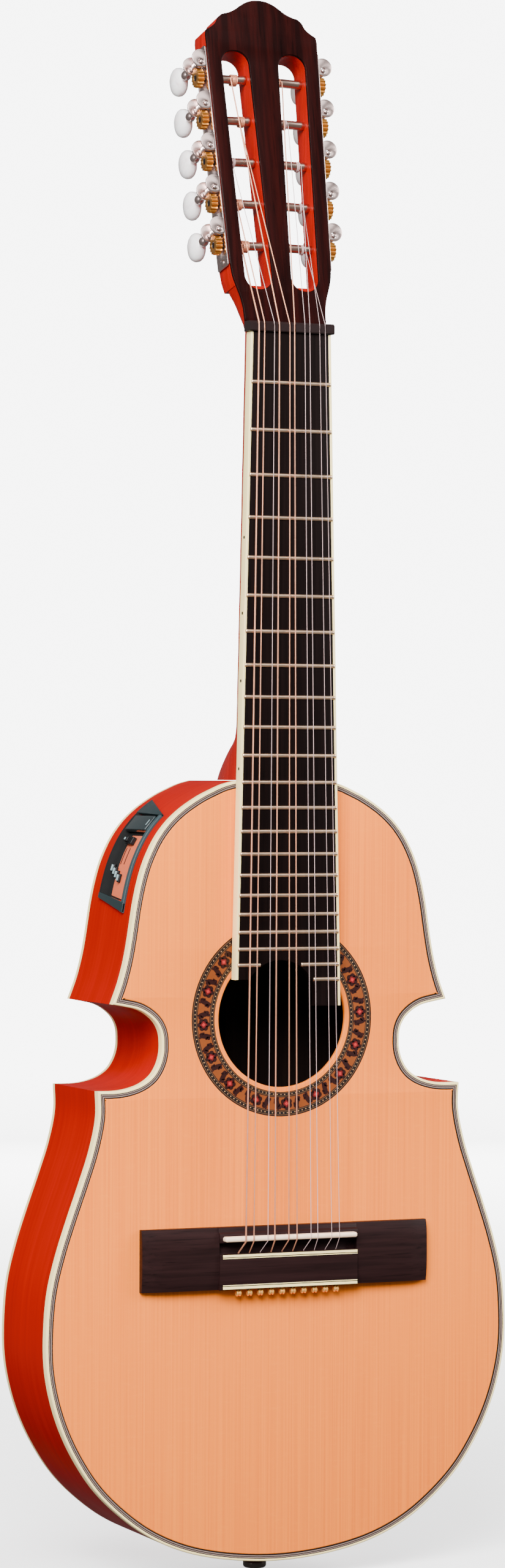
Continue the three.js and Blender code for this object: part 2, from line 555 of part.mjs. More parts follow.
function plateGeometry() {
  const parts = [box(0.25, 1.1, -66.5, 70.5, -17, -1.6)];
  for (let i = 0; i < 5; i++) {
    const v = (i - 2) * POST_PITCH + CENTRES + 2.2;
    for (const w of [-2.8, -17]) {
      parts.push(rod('z', GEAR_U, v, w, w + 1.2, 5.7, 12, Math.PI / 12));
    }
  }
  let s = join(...parts);
  const cuts = [box(-10, 0.25, -90, 90, -30, 5)];
  for (let i = 0; i < 5; i++) {
    const v = (i - 2) * POST_PITCH;
    cuts.push(rod('z', GEAR_U, v + CENTRES, -20, 2, 1.8, 8));
    cuts.push(rod('x', v, POST_W, -2, 3, 3.1, 8));
  }
  s = cut(s, ...cuts);
  return toGeometry(s);
}
const PLATE_GEO = plateGeometry();

// The bass rail is the treble rail turned half a turn about w, which keeps every thread right-handed.
const order = { '-1': [1, 2, 3, 5, 4], 1: [10, 9, 8, 7, 6] };   // string number on each row, nut end first
for (const side of [-1, 1]) {
  const railGroup = new THREE.Group();
  railGroup.position.set(side * SIDE_X, POST_V0, 0);
  railGroup.rotation.z = -side * rad(SIDE_ANGLE);
  head.add(railGroup);
  const mirrorX = new THREE.Matrix4().makeScale(side, 1, 1);
  const flipped = (g) => {
    if (side > 0) return g.clone();
    const c = g.clone().applyMatrix4(mirrorX);
    const idx = c.index.array;
    for (let i = 0; i < idx.length; i += 3) { const t = idx[i]; idx[i] = idx[i + 1]; idx[i + 1] = t; }
    c.computeVertexNormals();
    return c;
  };
  add(railGroup, side < 0 ? 'tuner_plate_bass' : 'tuner_plate_treble', flipped(PLATE_GEO), mat(NICKEL, 0.25, 1));
  for (let i = 0; i < 5; i++) {
    const v = (i - 2) * POST_PITCH;
    const num = order[side][i];
    const post = add(railGroup, `string_post_${num}`, flipped(POST_GEO), mat(BRASS, 0.3, 1));
    post.position.set(0, v, POST_W);
    const key = add(railGroup, `tuner_key_${num}`, flipped(KEY_GEO), mat(PEARL, 0.3));
    key.position.set(side * GEAR_U, v + CENTRES, 0);
  }
}

// ---------------------------------------------------------------- strings
function tube(path, r, sides = 6) {
  const pts = path.map((p) => new THREE.Vector3(...p));
  const dirs = pts.map((p, i) => {
    const a = pts[Math.max(0, i - 1)], b = pts[Math.min(pts.length - 1, i + 1)];
    return b.clone().sub(a).normalize();
  });
  const rings = pts.map((p, i) => {
    const d = dirs[i];
    const e1 = new THREE.Vector3(1, 0, 0).addScaledVector(d, -d.x).normalize();
    const e2 = new THREE.Vector3().crossVectors(d, e1).normalize();
    const rr = Array.isArray(r) ? r[i] : r;
    return Array.from({ length: sides }, (_, k) => {
      const t = (2 * Math.PI * k) / sides;
      return p.clone().addScaledVector(e1, rr * Math.cos(t)).addScaledVector(e2, rr * Math.sin(t)).toArray();
    });
  });
  return loft(rings, circle(0, 0, 1, sides));
}
const ROLLER_TOP = POST_W + 2.9;
for (let i = 0; i < 10; i++) {
  const [side, row, landX] = STRING_POST[i];
  const v = POST_V0 + (row - 2) * POST_PITCH;
  const r = STRING_R[i];
  const land = inHead(landX, v + 0.2, ROLLER_TOP + r + 0.45);
  const holeZ = 5.4;
  const path = [
    [TIE_X[i], -566.6, holeZ], [TIE_X[i], -566.3, holeZ], [TIE_X[i], -563.3, holeZ], [TIE_X[i], -563.15, holeZ],
    [TIE_X[i], -541.4, holeZ], [TIE_X[i] * 0.96 + SADDLE_X[i] * 0.04, -540.6, holeZ + 0.45],
    [SADDLE_X[i], SADDLE_Y - 1.5, STRING_SADDLE_Z - 0.12], [SADDLE_X[i], SADDLE_Y + 1, STRING_SADDLE_Z],
    [NUT_X[i], 0.2, STRING_NUT_Z], [NUT_X[i], 4.4, STRING_NUT_Z - 0.1],
    [NUT_X[i] + (land[0] - NUT_X[i]) * 0.015, 6.6, STRING_NUT_Z - 0.45], land,
  ];
  const radii = [1.2, 1.9, 1.9, r, r, r, r, r, r, r, r, r];
  const wound = [0, 1, 3, 4, 5].includes(i);
  add(design, `string_${i + 1}`, tube(path, radii), mat(wound ? BRONZE : STEEL, 0.35, 0.9));
}

// ---------------------------------------------------------------- preamp in the bass rib
const { y0: PY0, y1: PY1, z0: PZ0, z1: PZ1 } = PREAMP;
const FLOOR = 2.2, PROUD = -1.7;
const preampY = [PY0, PY0 - 3.2, PY0 - 3.3, PY0 - 4.2, PY0 - 5, ...HALF.map((p) => p[1]).filter((y) => y < PY0 - 5.5 && y > PY1 + 5.5),
  PY1 + 5, PY1 + 4.2, PY1 + 3.3, PY1 + 3.2, -336.5, PY1];
add(design, 'preamp_housing', bassWall(preampY, (i, y) => {
  const inset = Math.min(PY0 - y, y - PY1);
  const f = inset < 4.5 ? PROUD : FLOOR;
  const inner = inset < 3.25 ? -GAP - 0.2 : 11;
  return [
    [PROUD, PZ1], [PROUD, PZ1 - 4.2], [f, PZ1 - 5], [f, PZ0 + 5], [PROUD, PZ0 + 4.2], [PROUD, PZ0],
    [-GAP, PZ0], [-GAP, PZ0 + 3], [inner, PZ0 + 3], [inner, PZ1 - 3], [-GAP, PZ1 - 3], [-GAP, PZ1],
  ];
}), mat(0x39444a, 0.3));

// Frames on the rib: local x outwards, local y along the rib towards the tail.
function ribFrame(y, o, z) {
  const [s] = bassStations(y, y - 1, 2);
  const g = new THREE.Group();
  g.position.set(s.p[0] - s.n.x * o, s.p[1] - s.n.y * o, z);
  g.rotation.z = Math.atan2(s.n.y, s.n.x);
  design.add(g);
  return g;
}
function bevelBox(lx, ly, lz, b = 0.4) {
  const sec = (k) => [[-ly / 2 + k, -lz / 2 + k], [ly / 2 - k, -lz / 2 + k], [ly / 2 - k, lz / 2 - k], [-ly / 2 + k, lz / 2 - k]];
  return loft([[0, 0], [lx - b, 0], [lx, b]].map(([x, k]) => sec(k).map(([y, z]) => [x, y, z])), sec(0));
}
for (let i = 0; i < 4; i++) {
  const g = ribFrame(-316.0 - i * 1.9, FLOOR - GAP, -48.4 + i * 4.2);
  add(g, `eq_slider_${i + 1}`, bevelBox(4.2, 5.2, 2.5), mat(0x1c2226, 0.3));
}
add(ribFrame(-299.8, FLOOR - GAP, -38.2), 'volume_slider', bevelBox(4.6, 5.0, 8.5), mat(0x14181a, 0.35));
const door = ribFrame(-290.2, 0.9, -35.5);
add(door, 'battery_door', bevelBox(3.0, 11.0, 30.4, 0.8), mat(0x4a575c, 0.2));

// ---------------------------------------------------------------- endpin jack and strap button
{
  const profile = [
    [3.3, -735.0], [6.2, -735.0], [7.0, -734.2], [7.0, -731.2], [6.2, -730.3], [4.9, -729.6], [4.9, -727.2], [6.9, -726.4],
    [6.9, -725.9], [5.4, -725.9], [5.4, -694.0], [0, -694.0], [0, -697.0], [3.3, -697.0],
  ];
  const g = new THREE.LatheGeometry([...profile, profile[0]].map(([a, b]) => new THREE.Vector2(a, b)), 14);
  g.translate(0, 0, ENDPIN_Z);
  add(design, 'endpin_jack', cut(g), mat(0x141414, 0.3));
}

export default cuatro;
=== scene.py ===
import math
import random

import bmesh
import bpy
import numpy as np
from mathutils import Matrix, Vector
from mathutils.geometry import tessellate_polygon

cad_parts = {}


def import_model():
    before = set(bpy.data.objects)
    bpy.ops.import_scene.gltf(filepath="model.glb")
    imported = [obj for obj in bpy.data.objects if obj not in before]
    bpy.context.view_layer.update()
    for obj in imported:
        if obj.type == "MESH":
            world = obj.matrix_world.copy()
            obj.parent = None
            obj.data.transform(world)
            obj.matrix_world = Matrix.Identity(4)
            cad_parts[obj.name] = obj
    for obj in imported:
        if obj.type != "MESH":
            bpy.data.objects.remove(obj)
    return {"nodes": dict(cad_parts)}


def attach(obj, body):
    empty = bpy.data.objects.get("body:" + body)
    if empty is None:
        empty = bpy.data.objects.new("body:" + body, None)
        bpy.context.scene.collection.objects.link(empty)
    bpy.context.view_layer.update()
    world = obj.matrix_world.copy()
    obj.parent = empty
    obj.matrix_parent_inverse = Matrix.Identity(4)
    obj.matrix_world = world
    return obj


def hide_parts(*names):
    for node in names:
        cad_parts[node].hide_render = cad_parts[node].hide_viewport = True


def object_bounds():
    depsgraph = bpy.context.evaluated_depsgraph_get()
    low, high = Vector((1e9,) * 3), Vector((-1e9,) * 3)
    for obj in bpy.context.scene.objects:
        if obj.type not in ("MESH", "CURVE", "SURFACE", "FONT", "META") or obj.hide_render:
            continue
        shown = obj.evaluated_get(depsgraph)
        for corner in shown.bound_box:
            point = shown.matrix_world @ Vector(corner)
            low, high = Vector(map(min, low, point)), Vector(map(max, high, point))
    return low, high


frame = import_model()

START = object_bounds()
START = [[float(c) for c in v] for v in START]
random.seed(7)
ROOT = "instrument"
pi, sin, cos, tan, rad = math.pi, math.sin, math.cos, math.tan, math.radians


# ------------------------------------------------------------------ frames
def T(p):
    """Design frame (mm: X across, Y up the neck, Z out of the soundboard) to the row frame in metres."""
    return (p[0] / 1000.0, -p[2] / 1000.0, p[1] / 1000.0)


TILT = rad(12.2)


def H(x, v, w):
    """Headstock frame to the design frame."""
    return (x, 6 + v * cos(TILT) + w * sin(TILT), 1.04 - v * sin(TILT) + w * cos(TILT))


SIDE_X, SIDE_A, POST_V0, PITCH, POST_W = 34.34, rad(1.5), 101.6, 26.05, -9.0
LEAD, CENTRES, GEAR_U = 2.38, 7.9, 4.0


def RAIL(side, u, v, w):
    """Side rail frame (u outwards, v along, w out of the headstock face) to the design frame."""
    x = SIDE_X + u * cos(SIDE_A) + v * sin(SIDE_A)
    y = POST_V0 - u * sin(SIDE_A) + v * cos(SIDE_A)
    return H(side * x, y, w)


# ------------------------------------------------------------------ mesh helpers
def obj(name, verts, faces, mats, body=ROOT, hide=(), slot=None, angle=35, uv=None, fmat=None, world=False):
    me = bpy.data.meshes.new(name)
    me.from_pydata([v if world else T(v) for v in verts], [], faces)
    if not isinstance(mats, (list, tuple)):
        mats = [mats]
    for m in mats:
        me.materials.append(m)
    if fmat:
        for p, k in zip(me.polygons, fmat):
            p.material_index = k
    if uv is not None:
        lay = me.uv_layers.new(name="UVMap")
        for p in me.polygons:
            for li in p.loop_indices:
                lay.data[li].uv = uv[me.loops[li].vertex_index]
    bm = bmesh.new()
    bm.from_mesh(me)
    if uv is None:
        bmesh.ops.remove_doubles(bm, verts=bm.verts, dist=2e-6)
    bmesh.ops.recalc_face_normals(bm, faces=bm.faces)
    bm.to_mesh(me)
    bm.free()
    me.shade_smooth()
    me.set_sharp_from_angle(angle=rad(angle))
    o = bpy.data.objects.new(name, me)
    bpy.context.scene.collection.objects.link(o)
    if body:
        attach(o, body)
    if hide:
        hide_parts(*([hide] if isinstance(hide, str) else hide))
    return o


def soften(o, width, angle=30, segments=2):
    bm = bmesh.new()
    bm.from_mesh(o.data)
    es = [e for e in bm.edges if len(e.link_faces) == 2 and e.calc_face_angle(0) > rad(angle)]
    bmesh.ops.bevel(bm, geom=es, offset=width / 1000.0, segments=segments, profile=0.6, affect="EDGES", clamp_overlap=True)
    bm.to_mesh(o.data)
    bm.free()
    o.data.shade_smooth()
    o.data.set_sharp_from_angle(angle=rad(38))
    return o


def loft(rings, closed=False, caps=True):
    n = len(rings[0])
    verts = [p for r in rings for p in r]
    faces = []
    rows = len(rings) if closed else len(rings) - 1
    for i in range(rows):
        a, b = i * n, ((i + 1) % len(rings)) * n
        for k in range(n):
            k1 = (k + 1) % n
            faces.append((a + k, a + k1, b + k1, b + k))
    if caps and not closed:
        faces.append(tuple(range(n)))
        faces.append(tuple((len(rings) - 1) * n + k for k in range(n - 1, -1, -1)))
    return verts, faces


def area2(loop):
    return sum(a[0] * b[1] - b[0] * a[1] for a, b in zip(loop, loop[1:] + loop[:1]))


def inset(loop, d):
    """Moves a closed 2-D loop towards its inside by d, with mitred corners."""
    s = 1 if area2(loop) > 0 else -1
    out = []
    n = len(loop)
    for i, p in enumerate(loop):
        a, b = loop[i - 1], loop[(i + 1) % n]
        e1 = np.array([p[0] - a[0], p[1] - a[1]])
        e2 = np.array([b[0] - p[0], b[1] - p[1]])
        e1 /= max(np.linalg.norm(e1), 1e-9)
        e2 /= max(np.linalg.norm(e2), 1e-9)
        n1, n2 = np.array([-e1[1], e1[0]]) * s, np.array([-e2[1], e2[0]]) * s
        m = (n1 + n2) / max(1 + float(n1 @ n2), 0.35)
        out.append((p[0] + m[0] * d, p[1] + m[1] * d))
    return out


def plate(name, outer, holes, place, z0, z1, mats, bevel=0.3, seg=3, **kw):
    """A flat plate with rounded rims, from 2-D loops; place(x, y, z) gives design coordinates."""
    prof = [(0, 0.5)] if bevel <= 0 else None
    steps = []
    if bevel > 0:
        for k in range(seg + 1):
            t = pi / 2 * k / seg
            steps.append((bevel * (1 - sin(t)), z0 + bevel * (1 - cos(t))))
        steps = steps[::-1]
        up = [(a, z1 - (z - z0)) for a, z in steps[::-1]]
        prof = sorted(steps, key=lambda q: q[1]) + sorted(up, key=lambda q: q[1])
    else:
        prof = [(0, z0), (0, z1)]
    verts, faces, caps0, caps1 = [], [], [], []
    for hi, loop in enumerate([outer] + list(holes)):
        sgn = 1 if hi == 0 else -1
        base = len(verts)
        n = len(loop)
        for a, z in prof:
            for q in (inset(loop, sgn * a) if a > 1e-9 else loop):
                verts.append((q[0], q[1], z))
        for r in range(len(prof) - 1):
            for k in range(n):
                k1 = (k + 1) % n
                faces.append((base + r * n + k, base + r * n + k1, base + (r + 1) * n + k1, base + (r + 1) * n + k))
        caps0.append([base + k for k in range(n)])
        caps1.append([base + (len(prof) - 1) * n + k for k in range(n)])
    for caps in (caps0, caps1):
        flat = [i for c in caps for i in c]
        tris = tessellate_polygon([[Vector((verts[i][0], verts[i][1], 0)) for i in c] for c in caps])
        faces += [tuple(flat[i] for i in t) for t in tris]
    return obj(name, [place(*v) for v in verts], faces, mats, **kw)


def tube_mesh(path, radii, sides=10, ref=(1, 0, 0), cap_round=False):
    P = [Vector(p) for p in path]
    if not isinstance(radii, (list, tuple)):
        radii = [radii] * len(P)
    rings = []
    e1 = Vector(ref)
    for i, p in enumerate(P):
        d = (P[min(i + 1, len(P) - 1)] - P[max(i - 1, 0)]).normalized()
        e1 = (e1 - d * e1.dot(d)).normalized()
        e2 = d.cross(e1)
        rings.append([tuple(p + (e1 * cos(2 * pi * k / sides) + e2 * sin(2 * pi * k / sides)) * radii[i]) for k in range(sides)])
    return loft(rings)


def spin(profile, place, n=28):
    """Closed turned solid: profile is (radius, station) from axis to axis; place(a, b, s) puts it."""
    verts, faces = [], []
    rows = []
    for r, s in profile:
        if r < 1e-6:
            rows.append([len(verts)])
            verts.append(place(0, 0, s))
        else:
            rows.append(list(range(len(verts), len(verts) + n)))
            verts += [place(r * cos(2 * pi * k / n), r * sin(2 * pi * k / n), s) for k in range(n)]
    for a, b in zip(rows, rows[1:]):
        for k in range(n):
            k1 = (k + 1) % n
            if len(a) == 1 and len(b) == 1:
                continue
            if len(a) == 1:
                faces.append((a[0], b[k1], b[k]))
            elif len(b) == 1:
                faces.append((a[k], a[k1], b[0]))
            else:
                faces.append((a[k], a[k1], b[k1], b[k]))
    return verts, faces


def box_mesh(x0, x1, y0, y1, z0, z1, place=lambda x, y, z: (x, y, z)):
    v = [place(x, y, z) for x in (x0, x1) for y in (y0, y1) for z in (z0, z1)]
    f = [(0, 1, 3, 2), (4, 6, 7, 5), (0, 4, 5, 1), (2, 3, 7, 6), (0, 2, 6, 4), (1, 5, 7, 3)]
    return v, f


def merge(*parts):
    verts, faces = [], []
    for v, f in parts:
        b = len(verts)
        verts += list(v)
        faces += [tuple(i + b for i in q) for q in f]
    return verts, faces


# ------------------------------------------------------------------ material helper
class Mat:
    def __init__(s, name):
        s.m = bpy.data.materials.new(name)
        s.m.use_nodes = True
        s.t = s.m.node_tree
        s.b = s.t.nodes["Principled BSDF"]

    def node(s, kind, ins=None, **props):
        n = s.t.nodes.new(kind)
        for k, v in props.items():
            setattr(n, k, v)
        for k, v in (ins or {}).items():
            if isinstance(v, bpy.types.NodeSocket):
                s.t.links.new(v, n.inputs[k])
            else:
                n.inputs[k].default_value = v
        return n

    def obj(s):
        return s.node("ShaderNodeTexCoord").outputs["Object"]

    def uv(s):
        return s.node("ShaderNodeTexCoord").outputs["UV"]

    def map(s, vec, scale, loc=(0, 0, 0), rot=(0, 0, 0)):
        return s.node("ShaderNodeMapping", {"Vector": vec, "Scale": scale, "Location": loc, "Rotation": rot}).outputs[0]

    def noise(s, vec, scale=1.0, detail=3.0, rough=0.55, dist=0.0):
        return s.node("ShaderNodeTexNoise", {"Vector": vec, "Scale": scale, "Detail": detail, "Roughness": rough, "Distortion": dist}).outputs["Fac"]

    def ramp(s, fac, stops):
        n = s.node("ShaderNodeValToRGB", {"Fac": fac})
        e = n.color_ramp.elements
        while len(e) < len(stops):
            e.new(0.5)
        for i, (p, c) in enumerate(stops):
            e[i].position = p
            e[i].color = (c, c, c, 1) if isinstance(c, (int, float)) else (*c, 1)
        return n.outputs["Color"]

    def mix(s, fac, a, b, mode="MIX"):
        n = s.t.nodes.new("ShaderNodeMix")
        n.data_type = "RGBA"
        n.blend_type = mode
        for i, v in ((0, fac), (6, a), (7, b)):
            if isinstance(v, bpy.types.NodeSocket):
                s.t.links.new(v, n.inputs[i])
            else:
                n.inputs[i].default_value = v if i == 0 else (*v, 1)
        return n.outputs[2]

    def math(s, op, a, b=0.0):
        n = s.t.nodes.new("ShaderNodeMath")
        n.operation = op
        for i, v in enumerate((a, b)):
            if isinstance(v, bpy.types.NodeSocket):
                s.t.links.new(v, n.inputs[i])
            else:
                n.inputs[i].default_value = v
        return n.outputs[0]

    def sep(s, vec):
        return s.node("ShaderNodeSeparateXYZ", {"Vector": vec}).outputs

    def bump(s, height, strength=0.2, distance=0.0003):
        n = s.node("ShaderNodeBump", {"Height": height, "Strength": strength, "Distance": distance})
        s.t.links.new(n.outputs[0], s.b.inputs["Normal"])

    def set(s, **kw):
        names = dict(color="Base Color", rough="Roughness", metal="Metallic", coat="Coat Weight", coat_rough="Coat Roughness",
                     spec="Specular IOR Level", ior="IOR", sheen="Sheen Weight", sss="Subsurface Weight")
        for k, v in kw.items():
            i = s.b.inputs[names[k]]
            if isinstance(v, bpy.types.NodeSocket):
                s.t.links.new(v, i)
            elif isinstance(v, (tuple, list)):
                i.default_value = (*v, 1)
            else:
                i.default_value = v
        return s.m


def smudge(m, base, amp=0.08, scale=18.0):
    """Roughness with faint handling marks."""
    n = m.noise(m.obj(), scale, 4, 0.6)
    return m.ramp(n, [(0.3, base), (0.75, min(1, base + amp))])


def wood(name, light, dark, axis_scale, fine=1.0, rough=0.3, coat=0.5, contrast=(0.35, 0.7), band=None, use_uv=False, pores=0.25, spec=0.07):
    m = Mat(name)
    co = m.uv() if use_uv else m.obj()
    g = m.noise(m.map(co, axis_scale), fine, 4, 0.6, 0.25)
    col = m.ramp(g, [(contrast[0], dark), (contrast[1], light)])
    wide = m.noise(m.map(co, tuple(a * 0.09 for a in axis_scale)), 1.0, 2, 0.5, 0.4)
    tint = m.ramp(wide, [(0.3, band or tuple(c * 0.72 for c in light)), (0.72, (1, 1, 1) if band else tuple(min(1, c * 1.1) for c in light))])
    col = m.mix(0.35 if not band else 1.0, col, tint, "MIX" if not band else "MULTIPLY")
    po = m.noise(m.map(co, tuple(a * 3.1 for a in axis_scale)), 1.0, 2, 0.5)
    pm = m.ramp(po, [(0.60, 0.0), (0.72, 1.0)])
    col = m.mix(m.math("MULTIPLY", pm, pores), col, tuple(c * 0.35 for c in dark))
    m.bump(m.math("ADD", m.math("MULTIPLY", g, 0.6), m.math("MULTIPLY", po, 0.4)), 0.10, 0.0002)
    return m.set(color=col, rough=smudge(m, rough), coat=coat, coat_rough=0.12, spec=spec)


def metal(name, color, rough=0.2, tarnish=0.25, brushed=None):
    m = Mat(name)
    n = m.noise(m.obj(), 90, 2, 0.5)
    col = m.mix(m.ramp(n, [(0.45, 0.0), (0.8, tarnish)]), color, tuple(c * 0.6 for c in color))
    sc = m.noise(m.map(m.obj(), brushed or (900, 900, 900)), 1, 2, 0.5)
    m.bump(sc, 0.03, 0.00003)
    return m.set(color=col, metal=1.0, rough=m.ramp(n, [(0.3, rough), (0.8, rough + 0.1)]))


def plastic(name, color, rough=0.3, coat=0.2, var=0.15, scale=120, bump=0.05):
    m = Mat(name)
    n = m.noise(m.obj(), scale, 4, 0.6)
    col = m.mix(m.ramp(n, [(0.35, 0.0), (0.8, var)]), color, tuple(c * 0.55 for c in color))
    m.bump(m.noise(m.obj(), 1800, 2, 0.5), bump, 0.0001)
    return m.set(color=col, rough=smudge(m, rough, 0.1, 60), coat=coat, coat_rough=0.1, spec=0.3)


# spruce: fine straight grain up the instrument, with faint wide bands
def spruce(name, coat=0.04):
    m = Mat(name)
    o = m.obj()
    fine = m.noise(m.map(o, (820, 30, 5)), 1, 3, 0.55)
    wide = m.noise(m.map(o, (75, 8, 1.6)), 1, 2, 0.5)
    cloud = m.noise(m.map(o, (9, 9, 5)), 1, 3, 0.5)
    col = m.ramp(fine, [(0.32, (0.80, 0.165, 0.011)), (0.5, (0.88, 0.197, 0.014)), (0.72, (0.96, 0.232, 0.018))])
    col = m.mix(m.ramp(wide, [(0.35, 0.0), (0.75, 0.25)]), col, (0.82, 0.172, 0.011))
    col = m.mix(m.ramp(cloud, [(0.35, 0.0), (0.8, 0.30)]), col, (0.98, 0.25, 0.022))
    silk = m.noise(m.map(o, (120, 30, 420)), 1, 2, 0.5)
    col = m.mix(m.ramp(silk, [(0.55, 0.0), (0.8, 0.18)]), col, (1.0, 0.29, 0.032))
    m.bump(fine, 0.08, 0.00012)
    return m.set(color=col, rough=smudge(m, 0.38, 0.1, 9), coat=coat, coat_rough=0.15, spec=0.12)


SPRUCE = spruce("spruce_lacquer")
SPRUCE_RAW = spruce("spruce_bare", 0.0)
RIB = wood("rib_mahogany", (0.37, 0.0030, 0.0001), (0.27, 0.0016, 0.0001), (9, 300, 0), rough=0.3, coat=0.0, use_uv=True, pores=0.12, contrast=(0.3, 0.75), spec=0.01)
BACK = wood("back_mahogany", (0.40, 0.003, 0.0005), (0.25, 0.0015, 0.0005), (260, 260, 12), rough=0.2, coat=0.15, pores=0.3)
NECKWOOD = wood("neck_mahogany", (0.34, 0.0050, 0.0002), (0.20, 0.0020, 0.0001), (330, 330, 14), rough=0.26, coat=0.02, pores=0.35)
BLOCKWOOD = wood("block_mahogany", (0.40, 0.14, 0.06), (0.24, 0.07, 0.03), (260, 260, 14), rough=0.6, coat=0.0)
HEADCORE = wood("headstock_mahogany", (0.36, 0.0040, 0.0001), (0.22, 0.0020, 0.0001), (330, 330, 14), rough=0.26, coat=0.02, pores=0.35)
HEADWOOD = wood("headplate_rosewood", (0.017, 0.0024, 0.0020), (0.0022, 0.0009, 0.0009), (210, 60, 3.2), rough=0.28, coat=0.0, pores=0.5, contrast=(0.40, 0.62), spec=0.035)
BOARDWOOD = wood("fingerboard_wood", (0.0060, 0.0028, 0.0026), (0.0020, 0.0012, 0.0012), (520, 90, 9), rough=0.45, coat=0.0, pores=0.5, spec=0.04)
BRIDGEWOOD = wood("bridge_rosewood", (0.020, 0.008, 0.008), (0.007, 0.003, 0.003), (12, 300, 330), rough=0.4, coat=0.02, pores=0.5)
CREAM = plastic("cream_binding", (1.0, 0.80, 0.36), 0.3, 0.15, 0.08, 40)
CREAM2 = plastic("cream_line", (0.42, 0.22, 0.09), 0.35, 0.05, 0.15, 90)
DARKLINE = plastic("dark_line", (0.006, 0.0025, 0.002), 0.45, 0.0)
GREYLINE = plastic("grey_line", (0.24, 0.165, 0.14), 0.4, 0.05)
BONE = plastic("bone", (1.0, 0.74, 0.52), 0.3, 0.15, 0.12, 200)
FRET = metal("fret_metal", (0.80, 0.56, 0.38), 0.32, 0.12)
NICKEL = metal("nickel", (0.60, 0.46, 0.43), 0.24, 0.15)
# rollers: brownish steel, darker than the other nickel as painted shade for the slots they sit in
ROLLER_SHADED = metal("roller_nickel_painted_shade", (0.52, 0.36, 0.29), 0.26, 0.12)
BRASS = metal("brass", (0.90, 0.38, 0.07), 0.28, 0.3)
DARKMETAL = metal("dark_metal", (0.10, 0.08, 0.07), 0.3, 0.3)
BALLS = metal("ball_brass", (1.0, 0.50, 0.12), 0.2, 0.15)
BALLS.node_tree.nodes["Principled BSDF"].inputs["Metallic"].default_value = 0.7
STEEL = plastic("string_steel", (0.50, 0.34, 0.33), 0.3, 0.0, 0.05, 40, 0.0)
STEEL_M = STEEL
SLATE = plastic("slate_plastic", (0.010, 0.020, 0.022), 0.25, 0.15, 0.2)
SLATEGLOSS = plastic("slate_gloss", (0.010, 0.018, 0.020), 0.14, 0.5, 0.2)
RIMPL = plastic("slate_rim", (0.024, 0.046, 0.052), 0.25, 0.3, 0.2)
# black plastic for the knobs, also used as painted shade in slots
BLACK_PLASTIC_AND_SLOT_SHADE = plastic("black_plastic", (0.003, 0.003, 0.0035), 0.4, 0.0)
# pinkish colour painted in place of the reflection in a mirror-like panel
PANEL_REFLECTION = plastic("preamp_panel", (0.58, 0.115, 0.046), 0.3, 0.2, 0.15, 160)
PALEPL = plastic("pale_plastic", (0.20, 0.28, 0.29), 0.25, 0.4)
NUTPL = plastic("nut_dark", (0.010, 0.004, 0.004), 0.3, 0.1)
# matte near-black: painted shade for the shaded rear half of the preamp recess
RECESS_SHADE = plastic("recess_painted_shade", (0.003, 0.003, 0.003), 0.9, 0.0, 0.2, 60)
TAN = plastic("rosette_tan", (0.20, 0.046, 0.008), 0.4, 0.05, 0.3, 300)
LINECOL = plastic("rosette_line", (0.20, 0.090, 0.035), 0.4, 0.04, 0.2, 300)
SCROLL = plastic("rosette_brown", (0.018, 0.002, 0.0015), 0.4, 0.08, 0.4, 700)
PETAL = plastic("rosette_red", (0.12, 0.006, 0.006), 0.4, 0.08, 0.3, 900)
PINK = plastic("rosette_pink", (0.42, 0.020, 0.022), 0.4, 0.08, 0.2, 900)


def wound(name):
    m = Mat(name)
    z = m.sep(m.obj())[2]
    w = m.math("SINE", m.math("MULTIPLY", z, 2 * pi / 0.00045))
    n = m.noise(m.obj(), 220, 3, 0.6)
    col = m.mix(m.ramp(n, [(0.4, 0.0), (0.8, 0.3)]), (0.62, 0.26, 0.15), (0.40, 0.14, 0.07))
    m.bump(w, 0.25, 0.00005)
    return m.set(color=col, metal=0.45, rough=m.ramp(n, [(0.3, 0.3), (0.8, 0.42)]))


WOUND = wound("string_bronze")


def pearl():
    m = Mat("button_pearl")
    n = m.noise(m.map(m.obj(), (60, 60, 60)), 1, 5, 0.6, 2.2)
    col = m.ramp(n, [(0.3, (0.80, 0.70, 0.70)), (0.5, (0.94, 0.88, 0.87)), (0.7, (1.0, 0.97, 0.96))])
    m.bump(n, 0.05, 0.0003)
    return m.set(color=col, rough=smudge(m, 0.18, 0.08, 50), coat=0.8, coat_rough=0.06, sss=0.05)


PEARL = pearl()

# ------------------------------------------------------------------ body outline
BODY_TOP_Y, HOLE_Y, HOLE_R = -264.1, -404.4, 40.8
SEG1 = [(30, BODY_TOP_Y), (38, -266.2), (46, -269.6), (53.2, -273.1), (64.6, -280.4), (72.9, -287.7), (78.9, -295.0), (83.4, -302.4),
        (88.3, -313.4), (91.6, -324.4), (94.2, -336.5), (95.8, -346.5), (97.5, -357.5), (99.6, -368.6), (103.2, -382.0), (107.9, -394.6)]
SEG2 = [(107.9, -394.6), (99.0, -396.2), (91.5, -398.0), (85.5, -401.2), (80.5, -405.8), (77.6, -411.5), (76.8, -418.0), (77.2, -424.5),
        (79.3, -431.0), (83.2, -436.8), (89.5, -441.2), (98.0, -444.0), (106.0, -445.0), (116.9, -445.0)]
SEG3 = [(116.9, -445.0), (116.6, -460.0), (120.5, -479.0), (127.0, -498.5), (134.2, -518.5), (141.0, -539.0), (146.2, -560.0), (148.3, -582.0),
        (148.0, -604.0), (144.6, -623.0), (138.5, -641.5), (129.5, -659.5), (117.5, -677.0), (102.5, -692.0), (84.0, -705.6), (62.0, -715.8),
        (35.0, -722.3), (0, -725.2)]


